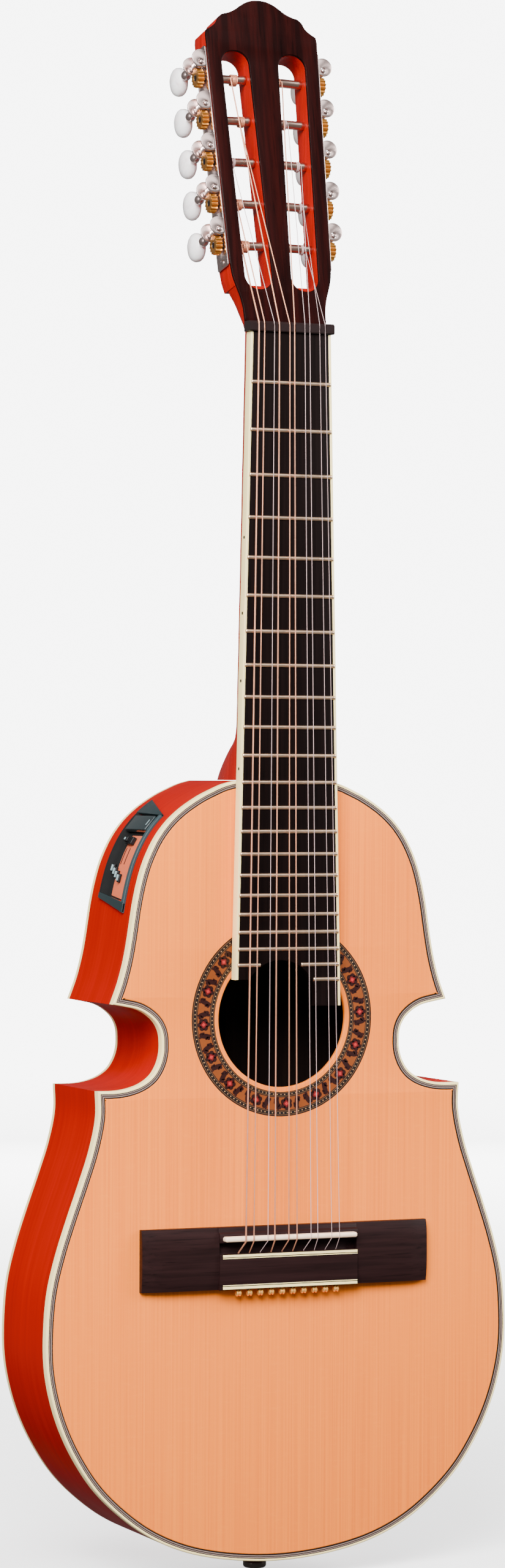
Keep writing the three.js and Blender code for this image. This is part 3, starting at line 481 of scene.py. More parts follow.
def catmull(pts, step, end_tan=None):
    P = [np.array(p, float) for p in pts]
    a = 2 * P[0] - P[1]
    b = 2 * P[-1] - P[-2] if end_tan is None else P[-2] * np.array([-1, 1])
    Q = [a] + P + [b]
    out = []
    for i in range(1, len(Q) - 2):
        p0, p1, p2, p3 = Q[i - 1], Q[i], Q[i + 1], Q[i + 2]
        t0 = 0
        t1 = t0 + max(np.linalg.norm(p1 - p0), 1e-6) ** 0.5
        t2 = t1 + max(np.linalg.norm(p2 - p1), 1e-6) ** 0.5
        t3 = t2 + max(np.linalg.norm(p3 - p2), 1e-6) ** 0.5
        n = max(2, int(round(np.linalg.norm(p2 - p1) / step)))
        for k in range(n):
            t = t1 + (t2 - t1) * k / n
            A1 = (t1 - t) / (t1 - t0) * p0 + (t - t0) / (t1 - t0) * p1
            A2 = (t2 - t) / (t2 - t1) * p1 + (t - t1) / (t2 - t1) * p2
            A3 = (t3 - t) / (t3 - t2) * p2 + (t - t2) / (t3 - t2) * p3
            B1 = (t2 - t) / (t2 - t0) * A1 + (t - t0) / (t2 - t0) * A2
            B2 = (t3 - t) / (t3 - t1) * A2 + (t - t1) / (t3 - t1) * A3
            out.append(tuple((t2 - t) / (t2 - t1) * B1 + (t - t1) / (t2 - t1) * B2))
    out.append(tuple(P[-1]))
    return out


half = [(x, BODY_TOP_Y) for x in (0, 10, 20, 27)] + catmull(SEG1, 2.2) + catmull(SEG2, 1.8)[1:] + catmull(SEG3, 3.0, end_tan=True)[1:]
OUT = half + [(-x, y) for x, y in half[1:-1][::-1]]
OUTN = np.array(OUT)
CORNERS = [i for i, p in enumerate(OUT) if abs(abs(p[0]) - 107.9) < 0.01 and abs(p[1] + 394.6) < 0.01 or abs(abs(p[0]) - 116.9) < 0.01 and abs(p[1] + 445.0) < 0.01]


def seg_dist(P, A, B):
    d = B - A
    t = np.clip(((P[:, None, :] - A[None]) * d[None]).sum(-1) / (d * d).sum(-1)[None], 0, 1)
    return np.linalg.norm(P[:, None, :] - (A[None] + t[..., None] * d[None]), axis=-1).min(1)


_off = {}


def off(d):
    """Body outline moved inwards by d, with points that would cross a corner gathered on its mitre."""
    key = round(d, 3)
    if key not in _off:
        if abs(d) < 1e-6:
            _off[key] = OUT
        else:
            q = np.array(inset(OUT, d))
            bad = seg_dist(q, OUTN, np.roll(OUTN, -1, 0)) < abs(d) - 0.03
            for i in CORNERS:
                bad[i] = False
            for i in np.where(bad)[0]:
                c = min(CORNERS, key=lambda k: min(abs(k - i), len(OUT) - abs(k - i)))
                q[i] = q[c]
            _off[key] = [tuple(p) for p in q]
    return _off[key]


def band(section):
    """Closed ring swept round the outline; section is [(inward offset, z), ...]."""
    loops = [off(o) for o, _ in section]
    rings = [[(loops[k][i][0], loops[k][i][1], section[k][1]) for k in range(len(section))] for i in range(len(OUT))]
    return loft(rings, closed=True)


DEPTH = 74.0
circle = lambda cx, cy, r, n, ph=0.0: [(cx + r * cos(2 * pi * k / n + ph), cy + r * sin(2 * pi * k / n + ph)) for k in range(n)]
ident = lambda x, y, z: (x, y, z)

# soundboard with a softly rounded hole edge
plate("soundboard_wood", off(4.1), [circle(0, HOLE_Y, HOLE_R, 120)], ident, -3.0, 0.0, SPRUCE, bevel=0.7, seg=4, hide="soundboard", slot="spruce_top")
v, f = band([(1.5, -5.5), (0.0, -5.5), (0.0, -0.8), (0.08, -0.45), (0.28, -0.18), (0.6, -0.03), (0.9, 0.0), (1.5, 0.0)])
obj("binding_front_edge", v, f, CREAM, hide="binding_front", slot="cream_binding")
for i, (a, b, mt) in enumerate([(1.5, 1.95, DARKLINE), (1.95, 2.45, GREYLINE), (2.45, 2.95, DARKLINE), (2.95, 3.5, GREYLINE), (3.5, 4.1, DARKLINE)]):
    v, f = band([(a, -1.0), (a, 0.015), (b, 0.015), (b, -1.0)])
    obj(f"purfling_{i + 1}", v, f, mt, slot="spruce_top")
v, f = band([(1.5, -DEPTH), (0.8, -DEPTH), (0.3, -DEPTH + 0.15), (0.05, -DEPTH + 0.5), (0.0, -DEPTH + 0.9), (0.0, -DEPTH + 4), (1.5, -DEPTH + 4)])
obj("binding_back_edge", v, f, CREAM, hide="binding_back", slot="cream_binding")
plate("back_wood", off(1.5), [], ident, -DEPTH, -DEPTH + 3, BACK, bevel=0.1, seg=1, hide="back_plate", slot="mahogany_body")
# near-black sheet over the inside of the back: painted shade of the dark interior seen through the sound hole
INTERIOR_SHADE = wood("interior_painted_shade", (0.010, 0.005, 0.004), (0.004, 0.002, 0.002), (260, 260, 12), rough=0.6, coat=0.0, pores=0.3)
plate("back_inside_painted_shade", off(5.0), [], ident, -DEPTH + 3.0, -DEPTH + 3.12, INTERIOR_SHADE, bevel=0, slot="mahogany_body")
v, f = box_mesh(-1.0, 1.0, -724.0, -266.0, -DEPTH - 0.03, -DEPTH + 0.5)
obj("back_centre_line", v, f, CREAM2, slot="cream_binding")

# ribs, with the opening for the preamp
PY0, PY1 = -281.0, -338.0
SLANT, ZMID = 0.19, -35.5
arc = [0.0]
for a, b in zip(OUT, OUT[1:] + OUT[:1]):
    arc.append(arc[-1] + math.dist(a, b))


def rib(name, idx, hide, hole=False):
    loops = {o: off(o) for o in (0.0, 4.4)}
    zo = [-5.5, -20.0, -57.0, -70.0]
    zi = [-3.3, -20.0, -57.0, -70.7]
    verts, uv, faces = [], [], []
    for i in idx:
        for o, zs in ((0.0, zo), (4.4, zi)):
            p = loops[o][i]
            for z in zs:
                verts.append((p[0], p[1], z))
                uv.append((arc[i] / 1000.0 * (1 if i or idx[0] == 0 else 1), z / 1000.0))
    for c in range(len(idx) - 1):
        a, b = c * 8, (c + 1) * 8
        y0, y1 = OUT[idx[c]][1], OUT[idx[c + 1]][1]
        inhole = hole and min(y0, y1) > PY1 + 2.6 and max(y0, y1) < PY0 - 2.6 and OUT[idx[c]][0] < 0
        for base in (0, 4):
            for k in range(3):
                if inhole and k == 1:
                    continue
                faces.append((a + base + k, b + base + k, b + base + k + 1, a + base + k + 1))
        faces.append((a, b, b + 4, a + 4))
        faces.append((a + 3, b + 3, b + 7, a + 7))
    for c in (0, len(idx) - 1):
        a = c * 8
        for k in range(3):
            faces.append((a + k, a + k + 1, a + 5 + k, a + 4 + k))
    return obj(name, verts, faces, RIB, hide=hide, slot="mahogany_body", uv=uv)


tail = half.index(half[-1])
rib("rib_treble_wood", list(range(0, tail + 1)), "rib_treble")
rib("rib_bass_wood", list(range(tail, len(OUT))) + [0], "rib_bass", hole=True)

# rosette: two chequered bands with a scrolling flower band between them
def annulus(r0, r1, z, n=180, a0=0.0, a1=2 * pi, depth=0.25):
    closed = abs(a1 - a0 - 2 * pi) < 1e-6
    m = n if closed else n + 1
    rings = []
    for k in range(m):
        t = a0 + (a1 - a0) * k / n
        c, s = cos(t), sin(t)
        rings.append([(r0 * c, HOLE_Y + r0 * s, z - depth), (r0 * c, HOLE_Y + r0 * s, z), (r1 * c, HOLE_Y + r1 * s, z), (r1 * c, HOLE_Y + r1 * s, z - depth)])
    return loft(rings, closed=closed)


for i, (r0, r1, mt) in enumerate([(43.6, 44.1, DARKLINE), (44.1, 44.32, LINECOL), (44.32, 46.0, DARKLINE), (46.0, 46.22, LINECOL), (46.22, 46.8, DARKLINE),
                                  (46.8, 54.4, TAN), (54.4, 54.9, DARKLINE), (54.9, 55.12, LINECOL), (55.12, 57.1, DARKLINE), (57.1, 57.32, LINECOL), (57.32, 58.1, DARKLINE)]):
    v, f = annulus(r0, r1, 0.03)
    obj(f"rosette_ring_{i + 1}", v, f, mt, slot="spruce_top", angle=50)
for tag, r0, rows, n in (("inner", 44.85, 1, 236), ("outer", 55.75, 1, 290)):
    parts = []
    h = 0.55 if tag == "inner" else 0.62
    for row in range(rows):
        for k in range(n):
            if (k + row) % 2:
                continue
            a0 = 2 * pi * (k + 0.22) / n
            a1 = 2 * pi * (k + 0.78) / n
            q0, q1 = r0 + row * (h + 0.1), r0 + row * (h + 0.1) + h
            parts.append(annulus(q0, q1, 0.05, 2, a0, a1, 0.1))
    v, f = merge(*parts)
    obj(f"rosette_chequer_{tag}", v, f, CREAM2, slot="spruce_top", angle=50)


def ribbon(path, widths, z=0.05, depth=0.12):
    P = [np.array(p) for p in path]
    rings = []
    for i, p in enumerate(P):
        d = P[min(i + 1, len(P) - 1)] - P[max(i - 1, 0)]
        d /= max(np.linalg.norm(d), 1e-9)
        nrm = np.array([-d[1], d[0]]) * widths[i] / 2
        a, b = p + nrm, p - nrm
        rings.append([(a[0], a[1], z - depth), (a[0], a[1], z), (b[0], b[1], z), (b[0], b[1], z - depth)])
    return loft(rings)


def polar(r, t):
    return (r * cos(t), HOLE_Y + r * sin(t))


NF = 16
scroll, petals, hearts, lights = [], [], [], []
for k in range(NF):
    t0 = 2 * pi * (k + 0.15) / NF
    span = 2 * pi / NF
    rm = 50.6
    for sgn, ts in ((1, 0.24), (-1, 0.60)):
        # an S scroll with a curled end
        path, wd = [], []
        for j in range(15):
            q = j / 14
            t = t0 + span * (ts + 0.20 * q)
            r = rm + sgn * 2.75 * sin(2 * pi * q) * (1 - 0.15 * q)
            path.append(polar(r, t))
            wd.append(0.8 + 2.1 * sin(pi * q))
        scroll.append(ribbon(path, wd))
        for end, dr in ((0.02, sgn * 2.2), (0.19, -sgn * 2.2), (0.10, sgn * 3.0), (0.12, -sgn * 2.9)):
            c = polar(rm + dr, t0 + span * (ts + end))
            loop, wd2 = [], []
            for j in range(11):
                a = 2 * pi * j / 12 + t0
                rr = 0.80 - 0.035 * j
                loop.append((c[0] + rr * cos(a), c[1] + rr * sin(a)))
                wd2.append(0.72)
            scroll.append(ribbon(loop, wd2, 0.06))
    c = polar(rm, t0)
    for j in range(6):
        a = 2 * pi * j / 6 + t0
        pc = (c[0] + 2.3 * cos(a), c[1] + 2.3 * sin(a))
        petals.append(([(q[0], q[1], z) for z in (0.0, 0.07) for q in circle(pc[0], pc[1], 1.62, 10)],
                       [tuple(range(10)), tuple(range(19, 9, -1))] + [(i, (i + 1) % 10, 10 + (i + 1) % 10, 10 + i) for i in range(10)]))
    for rr, z, bag in ((2.35, 0.09, hearts), (1.25, 0.11, lights)):
        bag.append(([(q[0], q[1], zz) for zz in (0.0, z) for q in circle(c[0], c[1], rr, 4, t0)],
                    [tuple(range(4)), tuple(range(7, 3, -1))] + [(i, (i + 1) % 4, 4 + (i + 1) % 4, 4 + i) for i in range(4)]))
for nm, bag, mt in (("scrolls", scroll, SCROLL), ("petals", petals, SCROLL), ("hearts", hearts, PETAL), ("centres", lights, PINK)):
    v, f = merge(*bag)
    obj(f"rosette_{nm}", v, f, mt, slot="spruce_top", angle=60)

# ------------------------------------------------------------------ headstock
CROWN = [(35.9, 181.4), (32.4, 183.6), (29.2, 186.4), (27.2, 190.2), (24.6, 192.2), (20.4, 193.4), (16.6, 195.2), (12.4, 198.2), (8.4, 200.6), (4.2, 202.0), (0, 202.4)]
sx = lambda v: SIDE_X + tan(SIDE_A) * (v - POST_V0)


def head_outline(low):
    r = low + [(sx(v), v) for v in (37, 70, 110, 150, 178)] + catmull(CROWN[:5], 1.5)[:-1] + catmull(CROWN[4:], 1.5)
    return r + [(-x, y) for x, y in r[:-1][::-1]]


def slot_loop(side):
    u0, u1, v0, v1, r = -26.4, -8.4, -81.4, 67.4, 8.6
    pts = []
    for cu, cv, a0 in ((u1 - r, v0 + r, -90), (u1 - r, v1 - r, 0), (u0 + r, v1 - r, 90), (u0 + r, v0 + r, 180)):
        for k in range(13):
            a = rad(a0 + 90 * k / 12)
            u, v = cu + r * cos(a), cv + r * sin(a)
            pts.append((side * (SIDE_X + u * cos(SIDE_A) + v * sin(SIDE_A)), POST_V0 - u * sin(SIDE_A) + v * cos(SIDE_A)))
    return pts


hp = lambda x, y, z: H(x, y, z)
LOW = catmull([(26.2, 0.5), (26.6, 9), (27.9, 16), (30.0, 22.5), (31.7, 28.5), (sx(37), 37)], 2)[:-1]
plate("headplate_wood", head_outline(LOW), [slot_loop(1), slot_loop(-1)], hp, -2.0, 0.0, HEADWOOD, bevel=0.35, hide="headplate", slot="rosewood_headplate")

# neck, heel and headstock core
NECK_TOP = 1.3
neck_half = lambda y: 25.3 + 4.9 * -y / 265


def dring(a, b, n, put, m=30):
    out = []
    for k in range(m + 1):
        t = pi * k / m
        c, s = cos(t), sin(t)
        out.append(put(a * (1 if c >= 0 else -1) * abs(c) ** (2 / n), -b * abs(s) ** (2 / n)))
    return out


NS = [(-263.8, 72.2, 2.0), (-261, 69.6, 2.0), (-258, 66, 2.0), (-252, 57, 2.0), (-246, 45, 2.0), (-242, 33, 2.05), (-238.5, 24.5, 2.1),
      (-233, 19.6, 2.15), (-222, 18, 2.2), (-200, 17.7, 2.2), (-120, 16.8, 2.2), (-40, 16.0, 2.2), (0, 15.6, 2.2)]
NS2 = catmull([(y, b) for y, b, _ in NS], 2.0)
nys = [q[0] for q in NS]
rings = []
lasty = -1e9
for y, b in NS2:
    if y <= lasty + 0.15:
        continue
    lasty = y
    n = float(np.interp(y, nys, [q[2] for q in NS]))
    rings.append(dring(neck_half(y), min(b, 75.1), n, lambda x, z, y=y: (x, y, NECK_TOP + z)))
HS = [(1.2, 25.4, 2.4), (5, 25.9, 2.9), (9, 26.4, 3.6), (12.5, 27.0, 4.2), (16, 27.8, 5), (19.5, 28.8, 6.4), (23, 30.0, 8)]
for vv, a, n in HS:
    rings.append(dring(a, 16.0, n, lambda x, z, vv=vv: H(x, vv, -2.05 + z)))
v, f = loft(rings)
neck = obj("neck_wood", v, f, NECKWOOD, hide="neck", slot="mahogany_neck", angle=40)
plate("headstock_core", head_outline([(30.2, 22.6), (31.7, 28.5)]), [slot_loop(1), slot_loop(-1)], hp, -18.3, -2.0, HEADCORE, bevel=0.6, slot="mahogany_neck")
v, f = box_mesh(-24, 24, -362, -258, 0.05, 1.58)
obj("neck_tongue", v, f, NECKWOOD, slot="mahogany_neck")

# ------------------------------------------------------------------ fingerboard, frets, nut
S = 530.0
FB_TOP, FB_BOT = 8.6, 1.6
fbh = lambda y: 24.1 + 5.5 * -y / 265
fret_y = lambda n: -S * (1 - 2 ** (-n / 12))
AX, AY, AR = -5.0, -393.0, 23.3
a0 = math.asin((-397 - AY) / AR)
a1 = pi - math.asin((-381 - AY) / AR)
archp = [(AX + AR * cos(a0 + (a1 - a0) * k / 40), AY + AR * sin(a0 + (a1 - a0) * k / 40)) for k in range(41)]
fbo = [(-fbh(0), -0.3), (-fbh(-381), -381)] + archp[::-1] + [(fbh(-397), -397), (fbh(0), -0.3)]
plate("fingerboard_wood", fbo, [], ident, FB_BOT, FB_TOP, BOARDWOOD, bevel=0.25, seg=2, hide="fingerboard", slot="rosewood_fingerboard")
for nm, sd, end in (("bass", -1, -381), ("treble", 1, -397)):
    q = [(sd * (fbh(0) + 0.02), -0.3), (sd * (fbh(end) + 0.02), end), (sd * (fbh(end) + 1.7), end), (sd * (fbh(0) + 1.7), -0.3)]
    plate(f"board_binding_{nm}", q, [], ident, FB_BOT, FB_TOP, CREAM, bevel=0.35, hide=f"fingerboard_binding_{nm}", slot="cream_binding")


def crown(x0, x1, y):
    prof = [(-1.15, 0.02)] + [(1.15 * -cos(pi * k / 8), 0.12 + 0.95 * sin(pi * k / 8)) for k in range(9)] + [(1.15, 0.02)]
    xs = [(x0, 0.55), (x0 + 0.35, 0.9), (x0 + 0.8, 1.0), (x1 - 0.8, 1.0), (x1 - 0.35, 0.9), (x1, 0.55)]
    return loft([[(x, y + a * (0.8 + 0.2 * k), FB_TOP + z * k) for a, z in prof] for x, k in xs])


def arch_x(y):
    return math.sqrt(max(0.0, AR ** 2 - (y - AY) ** 2))


for n in range(1, 23):
    y, w = fret_y(n), fbh(fret_y(n)) + 0.9
    parts = []
    if n <= 20:
        parts.append(crown(-w, w, y))
    else:
        parts.append(crown(AX + arch_x(y - 1) + 0.4, w, y))
        if n == 21:
            parts.append(crown(-w, AX - arch_x(y - 1) - 0.4, y))
    v, f = merge(*parts)
    obj(f"fret_{n}", v, f, FRET, hide="frets" if n == 1 else (), slot="fret_metal", angle=50)
# side position dots on the bass edge of the board
for n in (5, 7, 9, 12):
    y = (fret_y(n) + fret_y(n - 1)) / 2
    x = -(fbh(y) + 1.7)
    v, f = spin([(0, -0.05), (1.0, -0.05), (1.0, 0.03), (0.8, 0.06), (0, 0.06)], lambda a, b, s, x=x, y=y: (x - s, y + a, 5.4 + b), 16)
    obj(f"side_dot_{n}", v, f, DARKLINE, slot="cream_binding")
frame["nodes"]["nut"].data.materials.clear()
frame["nodes"]["nut"].data.materials.append(NUTPL)

# ------------------------------------------------------------------ bridge
BF, BR, BX = -526.2, -562.8, 1.6
wing = [(BF, 0.05), (BF, 4.3), (BF - 0.12, 4.62), (-528.2, 5.5), (-532, 6.7), (-538, 7.15), (-545, 7.3), (-551, 7.2), (-556, 6.8), (-560.0, 5.9), (BR + 0.12, 5.05), (BR, 4.75), (BR, 0.05)]


def wing_at(k):
    return [(y, 0.05 + (z - 0.05) * k if z > 1 else z) for y, z in wing]


for sd, tag in ((-1, "bass"), (1, "treble")):
    st = [(44.3, 1.0), (60, 1.0), (74, 0.97), (80, 0.93), (84, 0.86), (88, 0.76), (91.9, 0.64), (92.1, 0.60)]
    v, f = loft([[(BX + sd * x, y, z) for y, z in wing_at(k)] for x, k in st])
    obj(f"bridge_wing_{tag}", v, f, BRIDGEWOOD, slot="rosewood_bridge", angle=30)
block = [(BF, 0.05), (BF, 5.0), (BF - 0.3, 5.5), (BF - 0.9, 5.9), (-528.9, 6.4), (-529.8, 8.0), (-530.3, 8.4), (-534.6, 8.4), (-535.1, 8.2), (-536.3, 3.8), (-541.7, 3.8),
         (-541.7, 8.0), (-542.1, 8.4), (-562.0, 8.4), (BR + 0.1, 8.1), (BR, 7.7), (BR, 0.05)]
v, f = loft([[(x, y, z) for y, z in block] for x in (BX - 44.5, BX + 44.5)])
bl = obj("bridge_block", v, f, BRIDGEWOOD, hide="bridge", slot="rosewood_bridge", angle=30)
soften(bl, 0.25, 40, 2)
for tag, y0, y1, mt in (("front_cream", -542.1, -543.5, CREAM), ("front_dark", -543.5, -544.0, DARKLINE), ("front_light", -544.0, -544.45, CREAM), ("front_thin", -544.45, -544.75, DARKLINE),
                        ("rear_thin", -559.5, -559.8, DARKLINE), ("rear_light", -559.8, -560.25, CREAM), ("rear_dark", -560.25, -560.75, DARKLINE), ("rear_cream", -560.75, -562.3, CREAM)):
    v, f = box_mesh(BX - 42.6, BX + 44.3, y1, y0, 7.6, 8.47)
    o = obj(f"bridge_inlay_{tag}", v, f, mt, slot="cream_binding")
SAD_Y, SAD_A = -532.8, 0.0
prof = [(-1.5, 5.0), (1.5, 5.0), (1.5, 11.7)] + [(1.5 * cos(pi * k / 8), 11.7 + 1.05 * sin(pi * k / 8)) for k in range(1, 8)] + [(-1.5, 11.7)]


def sad(x, y, z):
    return (BX + x, SAD_Y + y, z)


v, f = loft([[sad(x, y * k, z if z < 8 else 8 + (z - 8) * q) for y, z in prof] for x, k, q in ((-42.6, 0.35, 0.75), (-42.3, 0.75, 0.9), (-41.6, 1, 1), (41.6, 1, 1), (42.3, 0.75, 0.9), (42.6, 0.35, 0.75))])
obj("saddle_bone", v, f, BONE, hide="saddle", slot="bone_saddle")

# ------------------------------------------------------------------ strings
NUT_X = [-21.4, -17.8, -11.4, -8.2, -1.5, 1.5, 8.2, 11.4, 17.8, 21.4]
SAD_X = [BX + x for x in (-30.2, -25.1, -16.1, -11.7, -2.65, 2.65, 11.7, 16.1, 25.1, 30.2)]
TIE_X = [BX + x for x in (-31.5, -24.5, -17.5, -10.5, -3.5, 3.5, 10.5, 17.5, 24.5, 31.5)]
STR_R = [0.48, 0.36, 0.2, 0.42, 0.34, 0.36, 0.2, 0.2, 0.17, 0.17]
LAND = [(-1, 0, -22.2), (-1, 1, -22.8), (-1, 2, -23.6), (-1, 4, -20.0), (-1, 3, -16.8), (1, 4, 13.5), (1, 3, 15.2), (1, 2, 21.5), (1, 1, 20.8), (1, 0, 19.6)]
WOUNDS = (0, 1, 3, 4, 5)
for i in range(10):
    sd, row, lx = LAND[i]
    r = STR_R[i]
    vv = POST_V0 + (row - 2) * PITCH
    top = POST_W + 2.9 + r + 0.06
    end = H(lx, vv + 0.4, top)
    pre = H(lx, vv - 1.0, top + 0.03)
    path = [(TIE_X[i], -564.4, 5.4), (TIE_X[i], -541.9, 5.4), (TIE_X[i] * 0.99 + SAD_X[i] * 0.01, -541.2, 5.6), (SAD_X[i], SAD_Y - 1.5, 13.2), (SAD_X[i], SAD_Y - 0.6, 13.36), (SAD_X[i], SAD_Y + 1, 13.4)]
    for k in range(1, 12):
        q = k / 12
        path.append((SAD_X[i] + (NUT_X[i] - SAD_X[i]) * q, SAD_Y + 1 + (0.2 - SAD_Y - 1) * q, 13.4 + (10.05 - 13.4) * q))
    path += [(NUT_X[i], 0.2, 10.05), (NUT_X[i], 3.6, 10.0), (NUT_X[i] + (end[0] - NUT_X[i]) * 0.01, 5.6, 9.75)]
    a = Vector(path[-1])
    b = Vector(pre)
    path += [tuple(a.lerp(b, q)) for q in (0.33, 0.66)] + [pre, end]
    v, f = tube_mesh(path, r, 10)
    obj(f"string_line_{i + 1}", v, f, WOUND if i in WOUNDS else STEEL, hide=f"string_{i + 1}", slot="bronze_wound" if i in WOUNDS else "plain_steel", angle=60)
    # twisted lock next to the ball end, then the ball
    bx = TIE_X[i]
    coil = [(bx + (r + 0.22) * cos(k * 0.9), -562.3 - 0.075 * k, 5.4 + (r + 0.22) * sin(k * 0.9)) for k in range(22)]
    v, f = tube_mesh(coil, 0.24, 6)
    obj(f"string_lock_{i + 1}", v, f, BALLS, slot="bronze_wound", angle=60)
    v, f = spin([(0.7, -1.5), (1.6, -1.5), (2.0, -1.1), (2.0, -0.7), (1.5, -0.25), (1.5, 0.25), (2.0, 0.7), (2.0, 1.1), (1.6, 1.5), (0.7, 1.5), (0.7, -1.5)],
                lambda a, b, s, bx=bx: (bx + s, -565.1 + a * 0.95, 5.4 + b), 22)
    obj(f"ball_end_{i + 1}", v, f, BALLS, slot="bronze_wound", angle=40)
    # turns on the roller, riding with the post
    pc = [0, 0]
    turns = 4.25
    coil = []
    step = 2 * r + 0.06
    for k in range(int(turns * 20) + 1):
        t = 2 * pi * k / 20
        rr = 2.78 + r
        # starts next to where the string lands, goes over the far side
        coil.append(H(lx - sd * (step + step * k / 20), vv + rr * sin(t), POST_W + rr * cos(t)))
    v, f = tube_mesh(coil, r * 0.98, 8)
    obj(f"string_turns_{i + 1}", v, f, WOUND if i in WOUNDS else STEEL, body=f"string_post_{i + 1}", slot="bronze_wound" if i in WOUNDS else "plain_steel", angle=60)

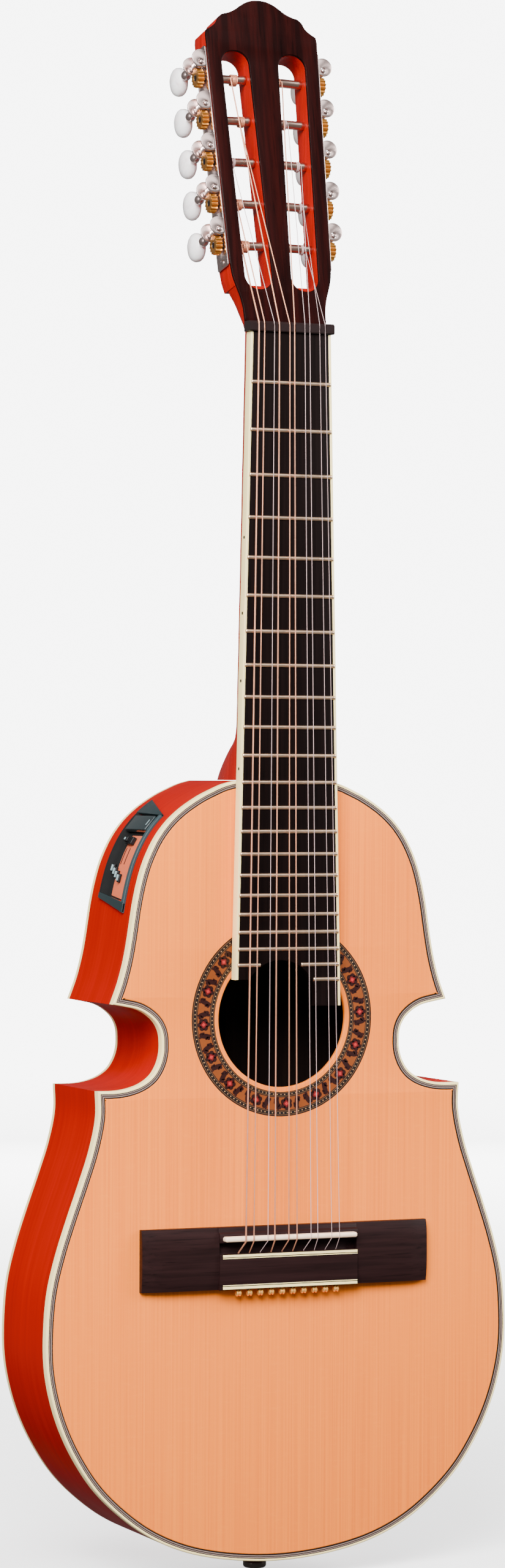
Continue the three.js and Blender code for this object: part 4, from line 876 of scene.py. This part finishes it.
# ------------------------------------------------------------------ tuners
ORDER = {-1: [1, 2, 3, 5, 4], 1: [10, 9, 8, 7, 6]}
for sd in (-1, 1):
    tag = "bass" if sd < 0 else "treble"
    # plate in the rail's v-w plane, thickness along u
    w0, w1, v0, v1, r = -17.0, -1.6, -66.5, 70.5, 1.2
    loop = []
    for cv, cw, a0_ in ((v1 - r, w1 - r, 0), (v0 + r, w1 - r, 90), (v0 + r, w0 + r, 180), (v1 - r, w0 + r, 270)):
        for k in range(5):
            a = rad(a0_ + 90 * k / 4)
            loop.append((cv + r * cos(a), cw + r * sin(a)))
    holes = [circle((i - 2) * PITCH, POST_W, 3.1, 20) for i in range(5)]
    plate(f"tuner_plate_{tag}_strip", loop, holes, lambda x, y, z, sd=sd: RAIL(sd, z, x, y), 0.15, 1.1, NICKEL, bevel=0.2, seg=2, hide=f"tuner_plate_{tag}", slot="nickel_plate")
    for i in range(5):
        vc = (i - 2) * PITCH + CENTRES + 2.2
        vk = (i - 2) * PITCH + CENTRES
        ear = []
        ang = math.acos((0.6 - GEAR_U) / 5.7)
        for k in range(29):
            a = -ang + 2 * ang * k / 28
            ear.append((GEAR_U + 5.7 * cos(a), vc + 5.7 * sin(a)))
        for nm, wa in (("front", -2.8), ("back", -17.0)):
            plate(f"ear_{nm}_{tag}_{i + 1}", ear, [circle(GEAR_U, vk, 1.75, 16)], lambda x, y, z, sd=sd: RAIL(sd, x, y, z), wa, wa + 1.2, NICKEL, bevel=0.3, seg=2, slot="nickel_plate")
    for vs in (-63.2, (-1.5) * PITCH + 1, -0.5 * PITCH + 1.6, 0.5 * PITCH + 1.6, 1.5 * PITCH + 1.6, 66.8):
        if abs(vs) < 60:
            continue
        v, f = spin([(0, 1.0), (2.0, 1.0), (1.9, 1.45), (1.4, 1.85), (0.7, 2.05), (0, 2.1)], lambda a, b, s, sd=sd, vs=vs: RAIL(sd, s, vs + a, POST_W + b), 20)
        obj(f"plate_screw_{tag}_{'low' if vs < 0 else 'high'}", v, f, NICKEL, slot="nickel_plate")
    for i in range(5):
        num = ORDER[sd][i]
        vp = (i - 2) * PITCH
        body = f"string_post_{num}"

        def pp(a, b, s, sd=sd, vp=vp):
            return RAIL(sd, s, vp + a, POST_W + b)
        # roller in the darker nickel, which carries painted shade of the slot
        v, f = spin([(0, -29.3), (1.85, -29.3), (1.9, -26.6), (2.5, -26.3), (2.85, -25.8), (2.85, -24.6), (2.62, -23.6), (2.62, -12.0), (2.85, -10.8), (2.85, -9.7), (2.6, -9.3), (2.55, 0.9), (0, 0.9)], pp, 26)
        obj(f"roller_{num}", v, f, ROLLER_SHADED, body=body, hide=f"string_post_{num}", slot="post_brass")
        # cog with fourteen teeth
        prof2 = []
        for k in range(14):
            for da, rr in ((0, 5.85), (0.10, 5.78), (0.36, 4.95), (0.5, 4.85), (0.64, 4.95), (0.90, 5.78)):
                t = 2 * pi * (k + da) / 14
                prof2.append((rr * cos(t), rr * sin(t)))
        # tooth 0 points into the headstock (-w), as the worm needs
        plate(f"cog_{num}", prof2, [circle(0, 0, 2.1, 16)], lambda x, y, z, sd=sd, vp=vp: RAIL(sd, z, vp + y, POST_W - x), 1.95, 6.05, BRASS, bevel=0.15, seg=1, body=body, slot="post_brass", angle=25)
        v, f = spin([(0, 0.9), (2.3, 0.9), (2.3, 1.96), (2.09, 1.97), (2.09, 5.2), (2.05, 5.75), (1.5, 6.15), (0, 6.25)], pp, 22)
        obj(f"cog_screw_{num}", v, f, DARKMETAL, body=body, slot="post_brass")
        # black bar on the screw head: painted shade of its slot
        v, f = box_mesh(-1.5, 1.5, -0.22, 0.22, 6.1, 6.32, lambda x, y, z, sd=sd, vp=vp: RAIL(sd, z, vp + x, POST_W + y))
        obj(f"cog_screw_slot_shade_{num}", v, f, BLACK_PLASTIC_AND_SLOT_SHADE, body=body, slot="post_brass")
        # key: shaft with worm, collar, button
        vk = vp + CENTRES
        body = f"tuner_key_{num}"

        def kp(a, b, s, sd=sd, vk=vk):
            return RAIL(sd, GEAR_U + a, vk + b, s)
        n = 28
        rows = [(-0.8, 0.0), (-0.85, 0.8), (-1.1, 1.3), (-1.35, 1.4), (-3.5, 1.4), (-3.6, 1.6)]
        rings = []
        for s_, r_ in rows[1:]:
            rings.append([kp(r_ * cos(2 * pi * k / n), r_ * sin(2 * pi * k / n), s_) for k in range(n)])
        top_w, bot_w = POST_W + 1.3 * LEAD, POST_W - 1.3 * LEAD
        steps = 44
        for j in range(steps + 1):
            w = top_w + (bot_w - top_w) * j / steps
            ring = []
            fade = min(1.0, min(top_w - w, w - bot_w) / 0.45)
            for k in range(n):
                d = ((w - POST_W) / LEAD - k / n + 2.25) % 1
                h = max(0.0, 1 - abs(d - 0.5) * 4)
                h = min(h * 1.15, 0.96) * fade
                rr = 1.6 + 1.1 * h
                ring.append(kp(rr * cos(2 * pi * k / n), rr * sin(2 * pi * k / n), w))
            rings.append(ring)
        for s_, r_ in [(-15.45, 1.6), (-15.6, 1.4), (-22.9, 1.45), (-23.3, 1.9), (-24.0, 2.5), (-25.0, 2.95), (-26.2, 3.1), (-27.3, 2.75), (-28.2, 2.1), (-28.9, 1.7), (-30.2, 1.6)]:
            rings.append([kp(r_ * cos(2 * pi * k / n), r_ * sin(2 * pi * k / n), s_) for k in range(n)])
        v, f = loft(rings)
        obj(f"key_shaft_{num}", v, f, NICKEL, body=body, hide=f"tuner_key_{num}", slot="nickel_plate", angle=45)
        rings = []
        for s_, ax, ay in [(-29.1, 1.9, 2.2), (-29.4, 2.2, 3.0), (-30.2, 2.9, 4.6), (-31.6, 3.7, 6.4), (-33.4, 4.35, 7.9), (-35.6, 4.75, 8.7), (-37.8, 4.85, 8.8), (-40.0, 4.6, 8.2), (-42.0, 4.05, 7.1), (-43.7, 3.2, 5.5), (-44.8, 2.2, 3.7), (-45.35, 1.1, 1.8), (-45.45, 0.4, 0.6)]:
            ring = []
            for k in range(32):
                t = 2 * pi * k / 32
                c, s2 = cos(t), sin(t)
                e = 2 / 2.3
                ring.append(kp(ax * (1 if c >= 0 else -1) * abs(c) ** e, ay * (1 if s2 >= 0 else -1) * abs(s2) ** e, s_))
            rings.append(ring)
        v, f = loft(rings)
        obj(f"key_button_{num}", v, f, PEARL, body=body, slot="button_pearl", angle=60)

# ------------------------------------------------------------------ preamp
bassn = [(p[0], p[1]) for p in OUT if p[0] < 0]
by = np.array(sorted(bassn, key=lambda q: q[1]))


def rib_pt(y):
    sel = by[(by[:, 1] > -393)]
    x = float(np.interp(y, sel[:, 1], sel[:, 0]))
    x1 = float(np.interp(y - 3, sel[:, 1], sel[:, 0]))
    x2 = float(np.interp(y + 3, sel[:, 1], sel[:, 0]))
    t = np.array([x1 - x2, -6.0])
    t /= np.linalg.norm(t)
    return np.array([x, y]), np.array([t[1], -t[0]]), t      # point, outward normal, towards the tail


def W(y, o, z):
    # the ends of the housing are cut at a slant
    end = max(0.0, 1 - min(abs(y - PY0), abs(y - PY1)) / 14.0)
    y = y - SLANT * (z - ZMID) * end
    p, n_, _ = rib_pt(y)
    return (p[0] - n_[0] * o, p[1] - n_[1] * o, z)


PZ0, PZ1, FLOOR, PROUD = -56.0, -15.0, 2.2, -1.7


def wall_piece(name, ys, sec, mats, **kw):
    v, f = loft([[W(y, o, z) for o, z in sec] for y in ys])
    return obj(name, v, f, mats, **kw)


lin = lambda a, b, n: [a + (b - a) * i / (n - 1) for i in range(n)]
YS = lin(PY0, PY1, 40)
wall_piece("preamp_front_rim", YS, [(-0.1, PZ1), (-1.2, PZ1), (-1.6, PZ1 - 0.4), (PROUD, PZ1 - 1.0), (PROUD, PZ1 - 3.4), (-1.2, PZ1 - 4.2), (FLOOR, PZ1 - 5.0), (3.6, PZ1 - 5.0), (3.6, PZ1 - 3.0), (-0.1, PZ1 - 3.0)], RIMPL, hide="preamp_housing", slot="slate_plastic")
# the rear rim and the recess floor are near-black as painted shade, where the rim shades the recess
wall_piece("preamp_rear_rim", YS, [(-0.1, PZ0), (-1.2, PZ0), (-1.6, PZ0 + 0.4), (PROUD, PZ0 + 1.0), (PROUD, PZ0 + 2.4), (-1.2, PZ0 + 3.2), (FLOOR, PZ0 + 5.0), (3.6, PZ0 + 5.0), (3.6, PZ0 + 3.0), (-0.1, PZ0 + 3.0)], RECESS_SHADE, slot="slate_plastic")
wall_piece("preamp_floor", lin(PY0 - 3.3, PY1 + 3.3, 30), [(FLOOR, PZ0 + 4.0), (FLOOR, PZ1 - 4.6), (11, PZ1 - 4.6), (11, PZ0 + 4.0)], RECESS_SHADE, slot="slate_plastic")
o = wall_piece("preamp_end_bottom", lin(PY1, PY1 + 4.6, 6), [(-0.1, PZ0), (-0.1, PZ1), (-1.85, PZ1), (-1.85, PZ0)], SLATE, slot="slate_plastic")
soften(o, 0.5, 40, 3)
# the top end runs from its slanted edge down to the straight edge of the battery door
rings = []
for q in lin(0.0, 1.0, 6):
    ring = []
    for o_, z in ((-0.1, PZ0), (-0.1, PZ1), (-1.85, PZ1), (-1.85, PZ0)):
        ya = PY0 - SLANT * (z - ZMID)
        yb = -284.6 if z < ZMID else -285.7
        p_, n_, _ = rib_pt(ya + (yb - ya) * q)
        ring.append((p_[0] - n_[0] * o_, p_[1] - n_[1] * o_, z))
    rings.append(ring)
v, f = loft(rings)
soften(obj("preamp_end_top", v, f, SLATE, slot="slate_plastic"), 0.25, 40, 2)
# the panel strip's pinkish colour is a painted reflection
wall_piece("preamp_panel_strip", lin(-296.0, -332.9, 20), [(FLOOR - 0.25, -44.0), (FLOOR - 0.25, -20.4), (FLOOR + 0.4, -20.4), (FLOOR + 0.4, -44.0)], PANEL_REFLECTION, slot="slate_plastic")
# black strips on the panel: painted shade of the two slots
for i, z in enumerate((-42.3, -37.0)):
    wall_piece(f"preamp_groove_shade_{i + 1}", lin(-303.5, -313.2, 10), [(FLOOR - 0.32, z - 0.5), (FLOOR - 0.32, z + 0.5), (FLOOR, z + 0.5), (FLOOR, z - 0.5)], BLACK_PLASTIC_AND_SLOT_SHADE, slot="slate_plastic")


def local_box(name, node, x0, x1, y0, y1, z0, z1, mt, **kw):
    """A bevelled block in a slider's own frame: x out of the rib, y towards the tail, z out of the soundboard."""
    yy, oo, zz = node
    p, n_, t_ = rib_pt(yy)
    base = (p[0] - n_[0] * oo, p[1] - n_[1] * oo)

    def put(x, y, z):
        return (base[0] + n_[0] * x + t_[0] * y, base[1] + n_[1] * x + t_[1] * y, zz + z)
    v, f = box_mesh(x0, x1, y0, y1, z0, z1, put)
    o = obj(name, v, f, mt, **kw)
    return soften(o, 0.35, 40, 3)


for i in range(4):
    at = (-316.0 - i * 1.9, FLOOR - 0.3, -48.4 + i * 4.2)
    local_box(f"eq_block_{i + 1}", at, 0.1, 1.6, -2.6, 2.6, -1.25, 1.25, BLACK_PLASTIC_AND_SLOT_SHADE, body=f"eq_slider_{i + 1}", hide=f"eq_slider_{i + 1}", slot="slider_plastic")
    local_box(f"eq_cap_{i + 1}", at, 1.5, 2.7, -1.9, 1.9, -0.55, 0.55, PALEPL, body=f"eq_slider_{i + 1}", slot="slider_plastic")
at = (-299.8, FLOOR - 0.3, -38.2)
local_box("volume_knob", at, 0.1, 2.6, -2.4, 2.4, -4.2, 4.2, BLACK_PLASTIC_AND_SLOT_SHADE, body="volume_slider", hide="volume_slider", slot="black_plastic")
local_box("volume_stem", at, 2.4, 4.4, -1.5, 1.5, -4.2, 0.4, BLACK_PLASTIC_AND_SLOT_SHADE, body="volume_slider", slot="black_plastic")
local_box("volume_mark", at, 4.3, 4.8, -0.8, 0.8, -3.6, -2.0, PALEPL, body="volume_slider", slot="black_plastic")
at = (-290.2, 0.9, -35.5)
local_box("battery_door_cover", at, 0.0, 3.0, -5.1, 5.5, -15.2, 15.2, SLATEGLOSS, body="battery_door", hide="battery_door", slot="slate_gloss")
local_box("battery_door_notch", at, 2.85, 3.12, -2.0, 2.0, 11.0, 12.0, PALEPL, body="battery_door", slot="slate_gloss")

# ------------------------------------------------------------------ endpin jack
prof = [(3.3, -734.6), (3.7, -735.0), (6.0, -735.0), (6.7, -734.5), (7.0, -733.6), (7.0, -731.6), (6.5, -730.6), (5.6, -730.0), (4.9, -729.3), (4.9, -727.4), (5.4, -726.7), (6.9, -726.3),
        (6.9, -725.6), (5.4, -725.6), (5.4, -694), (3.3, -694), (3.3, -734.6)]
v, f = spin(prof, lambda a, b, s: (a, s, -37 + b), 36)
obj("endpin_metal", v, f, DARKMETAL, hide="endpin_jack", slot="jack_metal")
v, f = spin([(0, -697), (5.35, -697), (5.35, -696), (0, -696)], lambda a, b, s: (a, s, -37 + b), 24)
obj("endpin_contact", v, f, BRASS, slot="jack_metal")

# inner nodes that stay as CAD get their finishes; the back bracing takes the near-black painted shade of the interior
for nm, mt in (("neck_block", BLOCKWOOD), ("tail_block", BLOCKWOOD), ("top_bracing", SPRUCE_RAW), ("back_bracing", INTERIOR_SHADE), ("saddle_pickup", BRASS)):
    me = frame["nodes"][nm].data
    me.materials.clear()
    me.materials.append(mt)

# ------------------------------------------------------------------ set, lights and camera
def stage_mat():
    m = bpy.data.materials.new("backdrop")
    m.use_nodes = True
    nt = m.node_tree
    b = nt.nodes["Principled BSDF"]
    tc = nt.nodes.new("ShaderNodeTexCoord")
    noise = nt.nodes.new("ShaderNodeTexNoise")
    noise.inputs["Scale"].default_value = 3
    ramp = nt.nodes.new("ShaderNodeValToRGB")
    ramp.color_ramp.elements[0].position, ramp.color_ramp.elements[1].position = 0.3, 0.7
    ramp.color_ramp.elements[0].color, ramp.color_ramp.elements[1].color = (0.86, 0.86, 0.86, 1), (0.89, 0.89, 0.89, 1)
    nt.links.new(tc.outputs["Object"], noise.inputs["Vector"])
    nt.links.new(noise.outputs["Fac"], ramp.inputs["Fac"])
    nt.links.new(ramp.outputs["Color"], b.inputs["Base Color"])
    b.inputs["Roughness"].default_value = 0.9
    b.inputs["Specular IOR Level"].default_value = 0.05
    # the far floor and wall glow evenly, and near the instrument the lights do the work
    flat = nt.nodes.new("ShaderNodeVectorMath")
    flat.operation = "MULTIPLY"
    flat.inputs[1].default_value = (1, 1, 0)
    ln = nt.nodes.new("ShaderNodeVectorMath")
    ln.operation = "LENGTH"
    mr = nt.nodes.new("ShaderNodeMapRange")
    mr.interpolation_type = "SMOOTHSTEP"
    mr.inputs["From Min"].default_value = 0.3
    mr.inputs["From Max"].default_value = 4.5
    mr.inputs["To Min"].default_value = 1.3
    mr.inputs["To Max"].default_value = 7.0
    nt.links.new(tc.outputs["Object"], flat.inputs[0])
    nt.links.new(flat.outputs["Vector"], ln.inputs[0])
    nt.links.new(ln.outputs["Value"], mr.inputs["Value"])
    b.inputs["Emission Color"].default_value = (1, 1, 1, 1)
    nt.links.new(mr.outputs["Result"], b.inputs["Emission Strength"])
    m.cycles.emission_sampling = "NONE"
    return m


fl = -0.7365
SEG = 72
prof = [(r, fl) for r in (0.25, 0.5, 1, 1.6, 2.4, 3.4, 5, 8, 12, 15)] + [(15 + 3 * sin(pi / 2 * k / 12), fl + 3 - 3 * cos(pi / 2 * k / 12)) for k in range(1, 13)] + [(18, 20)]
verts = [(0, 0, fl)] + [(r * cos(2 * pi * k / SEG), r * sin(2 * pi * k / SEG), z) for r, z in prof for k in range(SEG)]
faces = [(0, 1 + k, 1 + (k + 1) % SEG) for k in range(SEG)]
for a in range(len(prof) - 1):
    for k in range(SEG):
        q = (k + 1) % SEG
        faces.append((1 + a * SEG + k, 1 + (a + 1) * SEG + k, 1 + (a + 1) * SEG + q, 1 + a * SEG + q))
bd = obj("backdrop", verts, faces, stage_mat(), body=None, world=True, angle=60)
bd.visible_glossy = False
bd.visible_diffuse = False


def area(name, loc, target, size, power, color=(1, 1, 1)):
    d = bpy.data.lights.new(name, "AREA")
    d.shape = "RECTANGLE"
    d.size, d.size_y = size
    d.energy = power
    d.color = color
    o = bpy.data.objects.new(name, d)
    bpy.context.scene.collection.objects.link(o)
    o.visible_camera = False
    if name.startswith("back"):
        o.visible_glossy = False
    o.location = loc
    o.rotation_euler = (Vector(target) - Vector(loc)).to_track_quat("-Z", "Y").to_euler()
    return o


C = (0, 0, -0.3)
area("key", (-1.3, -1.8, 1.1), (0, 0, -0.2), (1.4, 1.4), 208)
area("fill", (2.9, -1.2, 0.9), C, (1.2, 1.8), 150)
area("side", (-2.4, -1.6, 0.7), C, (0.9, 1.6), 38)
area("top", (0, -1.7, 1.6), (0, 0.0, -0.3), (2.0, 1.2), 22)
area("back", (1.0, 2.7, 0.3), C, (2.0, 1.4), 95)
area("back_side", (-2.5, 1.7, 0.2), C, (1.2, 1.0), 24)
w = bpy.data.worlds.new("studio")
w.use_nodes = True
w.node_tree.nodes["Background"].inputs[0].default_value = (1, 1, 1, 1)
w.node_tree.nodes["Background"].inputs[1].default_value = 0.22
bpy.context.scene.world = w

th, ph, ro = rad(23.7098), rad(0.1081), rad(-0.2612)
Ry = np.array([[cos(th), 0, sin(th)], [0, 1, 0], [-sin(th), 0, cos(th)]])
Rx = np.array([[1, 0, 0], [0, cos(ph), -sin(ph)], [0, sin(ph), cos(ph)]])
Rz = np.array([[cos(ro), -sin(ro), 0], [sin(ro), cos(ro), 0], [0, 0, 1]])
R = Rz @ Rx @ Ry
pos = R.T @ np.array([0, 0, 2549.8]) + np.array([-18.9457, -266.0216, 0])
M = np.array([[1, 0, 0], [0, 0, -1], [0, 1, 0]])
cw = M @ R.T
cam = bpy.data.cameras.new("camera")
cam.sensor_width = 36.0
cam.sensor_fit = "AUTO"
cam.lens = 7063.5 * 36.0 / 2560.0
cam.shift_x = -(414.868 - 412.5) / 2560.0
cam.clip_start, cam.clip_end = 0.05, 30
co = bpy.data.objects.new("camera", cam)
bpy.context.scene.collection.objects.link(co)
m4 = np.eye(4)
m4[:3, :3] = cw
m4[:3, 3] = M @ pos / 1000.0
co.matrix_world = Matrix(m4.tolist())
bpy.context.scene.camera = co
